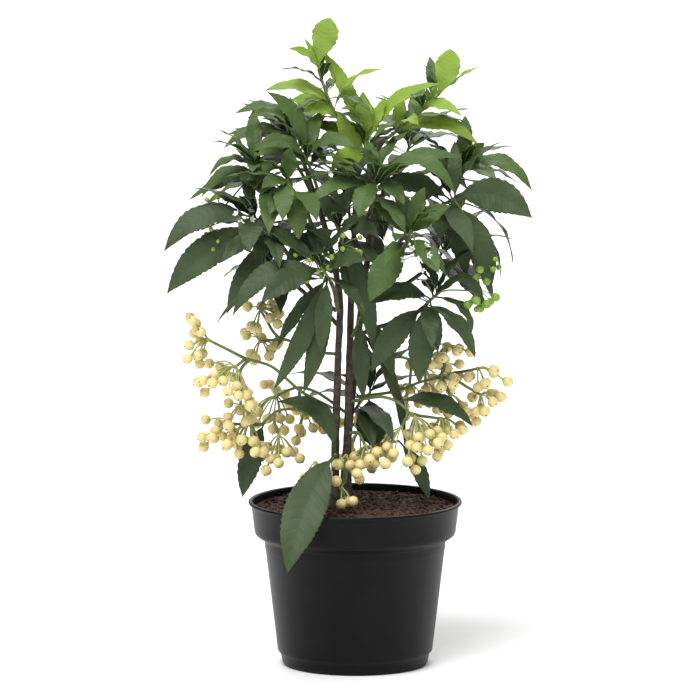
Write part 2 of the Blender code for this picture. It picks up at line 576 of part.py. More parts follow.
def foot_on(path, height, target):
    """Where a limb leaves a stem at a height: a point just off its side and the way out from it."""
    for low, high in zip(path, path[1:]):
        if high.z >= height:
            break
    middle = low.lerp(high, (height - low.z) / (high.z - low.z))
    way = (high - low).normalized()
    out = target - middle
    out = (out - way * out.dot(way)).normalized()
    return middle + out * (stem_radius(height / MM) * MM + GAP), out


def grow_boughs(room, stems):
    """One tapering bough under each sprig that stands off its stem."""
    for sprig in SPRIGS:
        if isinstance(sprig.foot, str):
            continue
        start_twig = mm(sprig.twig[0])
        twig_way = (mm(sprig.twig[1]) - start_twig).normalized()
        start, out = foot_on(stems[sprig.stem], sprig.foot * MM, start_twig)
        path = bezier(start, (out + UP * 0.5).normalized(), start_twig - twig_way * GAP, twig_way, 6)
        path.insert(1, start + out * 1.2 * MM)
        radii = [(BOUGH_RADIUS + (TWIG_RADIUS - BOUGH_RADIUS) * index / (len(path) - 1)) * MM
                 for index in range(len(path))]
        solid = tube(path, radii, BOUGH_SIDES)
        room.add("bough_" + sprig.name, *solid)
        finish(new_object("bough_" + sprig.name, *solid), material("young_bark", (0.09, 0.10, 0.04), 0.6), 60)


def twig_of(sprig, stems):
    """A sprig's twig path, from just clear of what carries it to its head."""
    points = [mm(point) for point in sprig.twig]
    if sprig.foot == "side":
        foot, out = foot_on(stems[sprig.stem], points[0].z - 4 * MM, points[1])
        return [foot, *smooth_path([foot + out * FOOT_RUN * MM, *points[1:]], 2)]
    if sprig.foot == "tip":
        tip = stems[sprig.stem][-1]
        way = (tip - stems[sprig.stem][-2]).normalized()
        foot = tip + way * GAP
        return [foot, *smooth_path([foot + way * FOOT_RUN * MM, *points[1:]], 2)]
    return smooth_path(points, 2)


def twig_solid(path):
    radii = [(TWIG_RADIUS + (TWIG_TIP_RADIUS - TWIG_RADIUS) * index / (len(path) - 1)) * MM
             for index in range(len(path))]
    return tube(path, radii, TWIG_SIDES)


def try_leaf(room, owner, pieces, leaf, nudges):
    """Adds a leaf to its mass at the first of a few small turns that leaves it clear; True if it fits."""
    root, reach, outward, width, bow, face, age = leaf
    for turn, lift in nudges:
        turned_reach = Matrix.Rotation(math.radians(turn), 3, "Z") @ reach
        across = turned_reach.cross(UP)
        if across.length > 1e-6:
            turned_reach = Matrix.Rotation(math.radians(lift), 3, across.normalized()) @ turned_reach
        shape = (root, turned_reach, outward, width, bow, face, age)
        wide = leaf_solid(*shape, shares=TRIAL_RINGS, margin=ROOM_MARGIN * MM)
        trial = leaf_solid(*shape, shares=TRIAL_RINGS)
        if clear_of_pot(wide[0]) and room.clear(owner, wide, trial, outer=4):
            room.add(owner, *trial, outer=4)
            pieces[owner].append(leaf_solid(*shape))
            return True
    return False


def clear_of_pot(points):
    """True where every point is above the soil, or above the rim, or hangs clear outside the pot."""
    for point in points:
        out = point.xy.length / MM
        over = SOIL_TOP_HEIGHT + 0.5 if out < RIM_RADIUS - 12 else RIM_HEIGHT + 0.5
        if point.z / MM < over and out < RIM_RADIUS + 0.6:
            return False
    return True


TRIAL_RINGS = (FREE_FROM, *LEAF_RINGS)
HERO_NUDGES = ((0, 0), (5, 0), (-5, 0), (0, 5), (0, -5), (9, 0), (-9, 0), (7, 7), (-7, 7), (7, -7), (-7, -7),
               (14, 0), (-14, 0), (0, 12), (0, -12), (18, 6), (-18, 6), (18, -6), (-18, -6))
WHORL_NUDGES = tuple((turn, lift) for lift in (0, 10, -10, 20) for turn in (0, 12, -12, 24, -24))


def shown_leaves(rows, path, age):
    """The leaves that the front view shows, as the share of the twig where each sits and its shape."""
    leaves = []
    for share, right, back, up, width, bow, face in rows:
        reach = mm((right, back, up))
        outward = Vector((reach.x, reach.y, 0)).normalized()
        kind = "bud" if age == "young" and width > 15 else age
        leaves.append((share, place_on(path, share)[0] + reach, outward, width * MM, bow * MM, face, kind, True))
    return leaves


def whorl_leaves(whorl, path, age, chance):
    """Leaves round the twig by the golden turn: the upper ones short and steep, the lower long and drooping."""
    count, length, first_turn = whorl
    leaves = []
    for index in range(count):
        share = index / max(1, count - 1)
        seat = 1.0 - 0.75 * share
        turn = math.radians(first_turn) + index * GOLDEN_TURN
        outward = Vector((math.cos(turn), math.sin(turn), 0))
        rise = math.radians(52 - 78 * share + chance.uniform(-8, 8))
        long = length * (0.72 + 0.28 * share) * chance.uniform(0.9, 1.08) * MM
        tip = place_on(path, seat)[0] + (outward * math.cos(rise) + UP * math.sin(rise)) * long
        leaves.append((seat, tip, outward, long * 0.27, long * 0.13, 0.0, age, False))
    return leaves


def seat_leaves(leaves, path):
    """Gives each leaf its own root on the twig, the steep ones uppermost; its tip stays where it was."""
    length = sum((b - a).length for a, b in zip(path, path[1:]))
    order = sorted(leaves, key=lambda leaf: (round(leaf[0], 1), leaf[1].z))
    limit = length - 0.3 * MM
    seated = []
    for leaf in reversed(order):
        seat = min(leaf[0] * length, limit)
        limit = seat - ROOT_SPACING * MM
        root = place_on(path, max(0.02, seat / length))[0]
        seated.append((root, leaf[1] - root, *leaf[2:]))
    return seated


def grow_leaves(room, owner, leaves, pieces, shown):
    """Adds either the shown leaves or the rest, where they fit; returns how many didn't."""
    nudges = HERO_NUDGES if shown else WHORL_NUDGES
    wanted = [leaf[:-1] for leaf in leaves if leaf[-1] == shown]
    return sum(not try_leaf(room, owner, pieces, leaf, nudges) for leaf in wanted)


def grow_umbel(room, owner, hub, count, reach, aim, spread, pieces, berries, chance):
    """Berries on their stalks round one hub, no two nearer than a berry."""
    aim = Vector(aim).normalized()
    side = aim.orthogonal().normalized()
    other = aim.cross(side)
    grown = 0
    for attempt in range(count * 5):
        if grown == count:
            return
        lean = math.radians(spread) * math.sqrt((attempt * 0.618 + 0.25) % 1.0)
        turn = attempt * GOLDEN_TURN
        way = aim * math.cos(lean) + (side * math.cos(turn) + other * math.sin(turn)) * math.sin(lean)
        centre = hub + way * reach * MM * chance.uniform(0.82, 1.12)
        if min(((centre - berry).length for berry in berries), default=1.0) < BERRY_SPACING * MM:
            continue
        wide = berry_solid(hub, centre, ROOM_MARGIN * MM)
        solid = berry_solid(hub, centre)
        if not (clear_of_pot(wide[0]) and room.clear(owner, wide, solid, outer=4)):
            continue
        room.add(owner, *solid, outer=4)
        pieces[owner].append(solid)
        berries.append(centre)
        grown += 1


def branch_of(truss, stems):
    """A truss's branch, from just clear of its stem."""
    points = [mm(point) for point in truss.branch]
    foot, out = foot_on(stems[truss.stem], points[0].z, points[1])
    return [foot, *smooth_path([foot + out * FOOT_RUN * MM, *points[1:]], 2)]


def side_branches(truss, path):
    """The stalk from the branch to each hub, bent a little upwards on its way."""
    stalks = []
    for share, hub, *rest in truss.umbels:
        start, way = place_on(path, share)
        end = mm(hub)
        if (end - start).length > MM:
            run = (end - start).normalized()
            stalks.append(bezier(start - run * 0.5 * MM, (way + run + UP * 0.3).normalized(), end, run, 3))
    return stalks


def join_mass(name, pieces, look):
    """Fuses a mass's twig and all that grows on it into one closed solid, and drops any loose scrap."""
    made = new_object(name, *pieces[0])
    if len(pieces) > 1:
        grown = bpy.data.collections.new(name + "_pieces")
        bpy.context.scene.collection.children.link(grown)
        for index, piece in enumerate(pieces[1:]):
            new_object(f"{name}_{index}", *piece, grown)
        union = made.modifiers.new("join", "BOOLEAN")
        union.operation = "UNION"
        union.operand_type = "COLLECTION"
        union.collection = grown
        union.solver = "MANIFOLD"
        joined = bpy.data.meshes.new_from_object(made.evaluated_get(bpy.context.evaluated_depsgraph_get()))
        made.modifiers.clear()
        made.data = joined
        for piece in list(grown.objects):
            bpy.data.objects.remove(piece)
        bpy.data.collections.remove(grown)
    keep_largest(made.data)
    return finish(made, look, 50)


def keep_largest(mesh):
    """Deletes every island of faces but the largest."""
    shape = bmesh.new()
    shape.from_mesh(mesh)
    left = set(shape.verts)
    islands = []
    while left:
        island = {left.pop()}
        edge = list(island)
        while edge:
            near = {link.other_vert(vert) for vert in edge for link in vert.link_edges} - island
            island |= near
            edge = list(near)
        left -= island
        islands.append(island)
    islands.sort(key=len)
    for island in islands[:-1]:
        bmesh.ops.delete(shape, geom=list(island), context="VERTS")
    shape.to_mesh(mesh)
    shape.free()


def clear_scene():
    for old in list(bpy.data.objects):
        bpy.data.objects.remove(old)


def build_plant():
    """Grows the limbs first, then the twigs, the shown leaves, the fruit and last the rest of the leaves."""
    room = Room()
    stems = grow_stems(room)
    grow_boughs(room, stems)
    pieces = {}
    twigs = {sprig.name: twig_of(sprig, stems) for sprig in SPRIGS}
    for name, path in twigs.items():
        pieces[name] = [twig_solid(path)]
        room.add(name, *pieces[name][0])
    branches = {truss.name: branch_of(truss, stems) for truss in TRUSSES}
    for truss in TRUSSES:
        path = branches[truss.name]
        pieces[truss.name] = [twig_solid(path)]
        pieces[truss.name] += [twig_solid(stalk) for stalk in side_branches(truss, path)]
        pieces[truss.name] += [hub_solid(mm(umbel[1])) for umbel in truss.umbels]
        for piece in pieces[truss.name]:
            room.add(truss.name, *piece)
    chance = random.Random(SEED)
    leaves = {}
    for sprig in SPRIGS:
        path = twigs[sprig.name]
        every = shown_leaves(sprig.leaves, path, sprig.age) + whorl_leaves(sprig.whorl, path, sprig.age, chance)
        leaves[sprig.name] = seat_leaves(every, path)
    for sprig in SPRIGS:
        grow_leaves(room, sprig.name, leaves[sprig.name], pieces, True)
    berries = []
    for truss in TRUSSES:
        path = branches[truss.name]
        grow_leaves(room, truss.name, seat_leaves(shown_leaves(truss.leaves, path, "old"), path), pieces, True)
        for share, hub, count, reach, aim, spread in truss.umbels:
            grow_umbel(room, truss.name, mm(hub), count, reach, aim, spread, pieces, berries, chance)
    for sprig in SPRIGS:
        grow_leaves(room, sprig.name, leaves[sprig.name], pieces, False)
    greens = {"young": (0.16, 0.32, 0.02), "mid": (0.06, 0.13, 0.03), "old": (0.035, 0.08, 0.03)}
    for sprig in SPRIGS:
        look = material("leaf_" + sprig.age, greens[sprig.age], 0.35)
        join_mass("leaves_" + sprig.name, pieces[sprig.name], look)
    for truss in TRUSSES:
        join_mass(truss.name, pieces[truss.name], material("berry", (0.76, 0.66, 0.34), 0.4))


def main():
    clear_scene()
    build_pot()
    build_soil()
    build_plant()


main()
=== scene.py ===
"""Potted coral ardisia, dressed: the plant grown by the rule of its solids, with finer leaves and fruit.

Metres, +Z up, -Y towards the viewer. The file is laid out as an add-on and is run as a script: each operator
makes one group of pieces, and main() calls them in order.
"""

import functools
import math
import random
from collections import namedtuple

import bmesh
import bpy
from mathutils import Matrix, Vector, noise
from mathutils.bvhtree import BVHTree


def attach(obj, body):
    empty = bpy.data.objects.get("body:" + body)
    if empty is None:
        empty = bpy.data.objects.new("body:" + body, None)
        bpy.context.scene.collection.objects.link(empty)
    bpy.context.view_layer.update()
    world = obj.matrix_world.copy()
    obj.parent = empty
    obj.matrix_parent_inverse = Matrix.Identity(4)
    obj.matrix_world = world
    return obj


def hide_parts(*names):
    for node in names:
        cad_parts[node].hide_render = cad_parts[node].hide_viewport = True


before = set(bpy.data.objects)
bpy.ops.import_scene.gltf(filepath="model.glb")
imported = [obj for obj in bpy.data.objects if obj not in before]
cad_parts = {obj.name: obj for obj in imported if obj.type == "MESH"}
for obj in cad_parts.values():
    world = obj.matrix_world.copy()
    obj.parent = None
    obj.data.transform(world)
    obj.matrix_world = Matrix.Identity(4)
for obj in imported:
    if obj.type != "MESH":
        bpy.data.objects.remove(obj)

bl_info = {
    "name": "Potted coral ardisia",
    "version": (1, 0, 0),
    "blender": (4, 5, 0),
    "location": "View3D > Sidebar > Ardisia",
    "description": "Makes a potted shrub with cream berries",
    "category": "Object",
}

MM = 0.001
GAP = 0.3 * MM
UP = Vector((0, 0, 1))
FRONT = Vector((0, -1, 0))
GOLDEN_TURN = math.radians(137.5)
SEED = 41

# Pot: a 14 cm nursery pot, in millimetres.
RIM_RADIUS = 70.0
RIM_HEIGHT = 108.4
COLLAR_DROP = 20.0
COLLAR_SLOPE = 6.0
COLLAR_FOOT_RADIUS = 66.0
BODY_TOP_RADIUS = 59.2
BODY_FOOT_RADIUS = 50.8
FOOT_RADIUS = 46.8
WALL = 1.3
FLOOR_TOP = 6.6
FLOOR_UNDERSIDE = 5.0
FOOT_RING_WIDTH = 2.2
PAD_RADIUS = 12.0
NOTCH_COUNT = 8
NOTCH_TOP_WIDTH = 9.2
NOTCH_FOOT_WIDTH = 15.0
NOTCH_DEPTH = 10.0

# The dressed pot: steps round, cuts up each notch, and the angle in degrees past which an edge stays sharp.
POT_STEPS = 128
NOTCH_CUTS = 5
SHARP_ANGLE = 48.0

# Soil: it fills the pot to a little under the rim and is heaped where the stems stand.
SOIL_EDGE_HEIGHT = 103.7
SOIL_TOP_HEIGHT = 105.2
SOIL_FLAT_RADIUS = 24.0
SOIL_EDGE_RADIUS = RIM_RADIUS - 3.8

# The dressed soil: rings over its top, steps round, its lumps (how fine and how high, out to a radius), and
# loose crumbs, each squashed by its own draws along three axes and tipped by up to an angle in radians.
SOIL_RINGS = 40
SOIL_STEPS = 120
SOIL_LUMPS = ((260, 0.9), (900, 0.5))
LUMPS_RADIUS = RIM_RADIUS - 4.2
CRUMB_COUNT = 1500
CRUMBS_RADIUS = RIM_RADIUS - 5.5
CRUMB_SIZES = (0.25, 1.0)
CRUMB_SINK = 0.3
CRUMB_SQUASH = ((0.7, 1.5), (0.7, 1.3), (0.5, 0.9))
CRUMB_TIP = 0.6

# Limbs.
STEM_SIDES = 8
BOUGH_SIDES = 5
TWIG_SIDES = 3
STEM_RADIUS = 2.9
STEM_TIP_RADIUS = 1.5
FLARE_RADIUS = 3.4
FLARE_HEIGHT = 14.0
TAPER_HEIGHT = 240
STRAIGHT_FOOT = 7
LEAST_STEP = 2
BOUGH_RADIUS = 1.5
TWIG_RADIUS = 1.4
TWIG_TIP_RADIUS = 1.1
FOOT_RUN = 1.6
BOUGH_RUN = 1.2
BOUGH_PIECES = 6
BOUGH_LIFT = 0.5
SIDE_TWIG_DROP = 4
SIDE_STALK_LIFT = 0.3
SIDE_STALK_SINK = 0.5
SIDE_STALK_PIECES = 3
CURVE_REACH = 0.38
TWIG_SHARE = 0.82

# Finer limbs: steps round, steps between two points, and how deep the bark's relief is.
STEM_FINENESS = (20, 6, 0.28)
BOUGH_FINENESS = (12, 3, 0.1)

# Leaves.
PETIOLE_SHARE = 0.09
LEAF_ROOT_WIDTH = 1.0
LEAF_ROOT_KEEL = 0.7
LEAF_KEEL = 1.3
LEAF_RINGS = (0.34, 0.68)
FREE_FROM = 0.15
ROOT_SPACING = 1.4
ROOM_MARGIN = 0.6
TWIG_END = 0.3
LOWEST_SEAT = 0.02
BUD_WIDTH = 15

# How near to upright, and to straight at the viewer, a leaf's way counts as such: its length seen along it.
UPRIGHT_BELOW = 0.25
END_ON_BELOW = 0.05

# Room kept round the pot: from how far inside its rim only the soil counts, and how far above and beside it a
# leaf or berry stays.
INSIDE_RIM = 12
OVER_POT = 0.5
BESIDE_POT = 0.6

# Leaves that the rule adds: the share of the twig that they take, their rise from first to last in degrees,
# their length from first to last, and their width and bow as shares of it.
WHORL_RUN = 0.75
WHORL_RISE = 52
WHORL_FALL = 78
WHORL_SWAY = 8
WHORL_SHORT = 0.72
WHORL_GROWTH = 0.28
WHORL_LENGTHS = (0.9, 1.08)
WHORL_WIDTH = 0.27
WHORL_BOW = 0.13

# Berries.
BERRY_RADIUS = 3.75
BERRY_SPACING = 7.7
PEDICEL_RADIUS = 0.55
HUB_RADIUS = 2.4
PEDICEL_START = 1.3
PEDICEL_LENGTHS = (0.82, 1.12)
FIRST_LEAN = 0.25
GOLDEN_SHARE = 0.618
FIRST_TRIES = 5

# Finer leaves of the dressed plant. The columns are places across a blade from edge to edge.
BLADE_RINGS = 48
BLADE_COLUMNS = (-1.0, -0.92, -0.62, -0.32, -0.045, 0.045, 0.32, 0.62, 0.92, 1.0)
BLADE_FOLD = 0.22
FOLD_SPREAD = (0.4, 1.5)
BLADE_DISH = 0.12
PETIOLE_HALF_WIDTH = 0.6
TIP_HALF_WIDTH = 0.25
SCALLOPED_FROM = 0.9
EDGE_TOOTH_DEPTH = 0.10
TOOTH_PITCH = 4.2
LEAST_TEETH = 8
EDGE_WAVE = 0.9
EDGE_HALF_WAVES = 6
MIDRIB_TO = 0.05
# Faces beyond this share of the half width, and the blade's rim, take the margin look, whose paler colour
# paints a highlight along the edge.
PAINTED_EDGE_HIGHLIGHT_FROM = 0.95
VEIN_COUNT = 12
VEIN_SLANT = 14.0
VEIN_SHARPNESS = 0.4

# Growth between the leaves and berries of the solids.
INNER_LEAVES = 5
INNER_LENGTH = 0.82
INNER_TURN = 75
SECOND_TRIES = 8
SECOND_REACHES = (1.28, 0.8, 1.5)
FULLER = 1.3

# Fruit: stalks, calyx and hubs.
BERRY_SIZES = (0.94, 1.03)
BERRY_SQUASH = 0.95
BERRY_TIP_RADIUS = 0.55
BERRY_TIP_SEAT = 0.93
CALYX_RADII = (0.7, 1.5)
CALYX_DEPTH = 0.9
CALYX_SEAT = 0.97
STALK_RADIUS = 0.45
STALK_GROWTH = 0.15
STALK_SAG = 0.10
KNOB_RADIUS = 1.5
GREEN_BRANCH_RADIUS = 0.55
GREEN_STALK_RADIUS = 0.33
GREEN_REACHES = (0.8, 1.1)
GREEN_SIZES = (0.75, 1.1)
GREEN_FIRST_LEAN = 0.4
GREEN_BOW = 0.08
PETAL_COUNT = 5
PETAL_RISE = 0.5

# Each age of leaf: the colour of its patches, of its midrib and of its underside, and its roughness.
# The midrib's colour, made darker, is also the margin's colour: a painted highlight along the leaf's edge.
LEAF_LOOKS = {
    "young": ((0.10, 0.24, 0.006), (0.62, 0.74, 0.18), (0.26, 0.40, 0.05), 0.40),
    "mid": ((0.010, 0.032, 0.004), (0.32, 0.42, 0.14), (0.075, 0.13, 0.03), 0.29),
    "old": ((0.004, 0.011, 0.004), (0.22, 0.29, 0.13), (0.045, 0.075, 0.025), 0.26),
}
LEAF_PATCHES = 38.0
BLADE_COAT = 0.08
BLADE_VEINS = 0.5
UNDERSIDE_VEINS = 0.25
UNDERSIDE_ROUGHNESS = 0.55
MIDRIB_ROUGHNESS = 0.4

# Bark's relief: how fine its ridges and its knots are across a limb and along it.
BARK_RIDGES = (900, 120)
BARK_KNOTS = (60, 210)

GRAIN_SCALE = 900.0
RELIEF_STRENGTH = 0.6
PLAIN_SPECULAR = 0.35
POT_SPECULAR = 0.13

# Young fruit and flowers: what they are, the sprig and the share of its twig that they spring from, their
# hub, their number, reach, aim and spread, and the size of each, in millimetres and degrees.
GREEN_UMBELS = (
    ("berry", "left", 0.5, (-88, -10, 302), 10, 13, (-0.7, -0.3, 0.1), 80, 1.7),
    ("berry", "left_low", 0.6, (-86, -20, 287), 7, 12, (-0.6, -0.2, -0.5), 70, 1.6),
    ("flower", "left_low", 0.9, (-72, -26, 296), 5, 9, (0.0, -0.6, 0.2), 60, 2.6),
    ("berry", "centre", 0.6, (-27, -37, 274), 9, 14, (-0.2, -0.4, -0.6), 75, 2.2),
    ("berry", "centre", 0.9, (-8, -40, 283), 8, 13, (0.3, -0.4, -0.3), 80, 2.2),
    ("berry", "right", 0.5, (82, -22, 268), 8, 12, (0.3, -0.2, -0.5), 80, 2.6),
    ("berry", "right_low", 0.9, (80, -30, 252), 8, 13, (0.1, -0.2, -1.0), 65, 2.9),
    ("flower", "right_front", 0.9, (41, -48, 277), 6, 10, (0.1, -0.6, 0.1), 70, 2.8),
)

# Camera: it looks a little down on the plant from far off, as the photograph does.
CAMERA_DISTANCE = 6000.0
CAMERA_TILT = 8.7
CAMERA_AIM = (-4.7, 0.0, 209.4)
SENSOR_WIDTH = 36.0
PHOTO_WIDTH_MM = 455.2

WORLD_LIGHT = 0.28
BACKDROP_LIGHT = 1.0
STUDIO_LIGHTS = (
    # Name, the place it shines from, its width in degrees and its strength.
    ("key", (-0.35, -0.8, 1.5), 40, 3.3),
    ("fill", (1.4, -1.0, 0.8), 30, 0.3),
    ("back", (0.2, 1.2, 1.1), 55, 2.0),
)

STEMS = {
    # Points of each stem's middle from the soil to its tip, in millimetres.
    "stem_left": ((-13, -3, 105.5), (-13, -3, 142), (-12, -4, 176), (-11, -6, 209), (-10, -8, 242),
                  (-15, -8, 272), (-22, -8, 299), (-25, -9, 316)),
    "stem_right": ((-5, -2, 105.5), (-5, -1, 149), (-4, -1, 188), (-3, 0, 228), (-2, 0, 268),
                   (0, 0, 301), (-1, 0, 327), (-5, 0, 344), (-8, 0, 354)),
    "stem_back": ((-8, 11, 105.5), (-5, 12, 147), (-1, 12, 186), (3, 12, 226), (8, 12, 266),
                  (12, 10, 296), (12, 8, 316), (9, 5, 328)),
}

# A sprig is one mass of leaves. Its twig runs through `twig`, on a bough that leaves `stem` at the
# height `foot`, on the stem's own tip where `foot` is "tip", or straight on the stem where it is "side".
# Each row of `leaves` is a leaf that the front view shows: where it sits on the twig (0 to 1), its
# reach from there (right, back, up), its width, its bow, and how far its face turns to the front (0 to 1).
# `whorl` is the number, length and first turn of the leaves that the rule adds round the twig.
Sprig = namedtuple("Sprig", "name stem foot age twig leaves whorl")

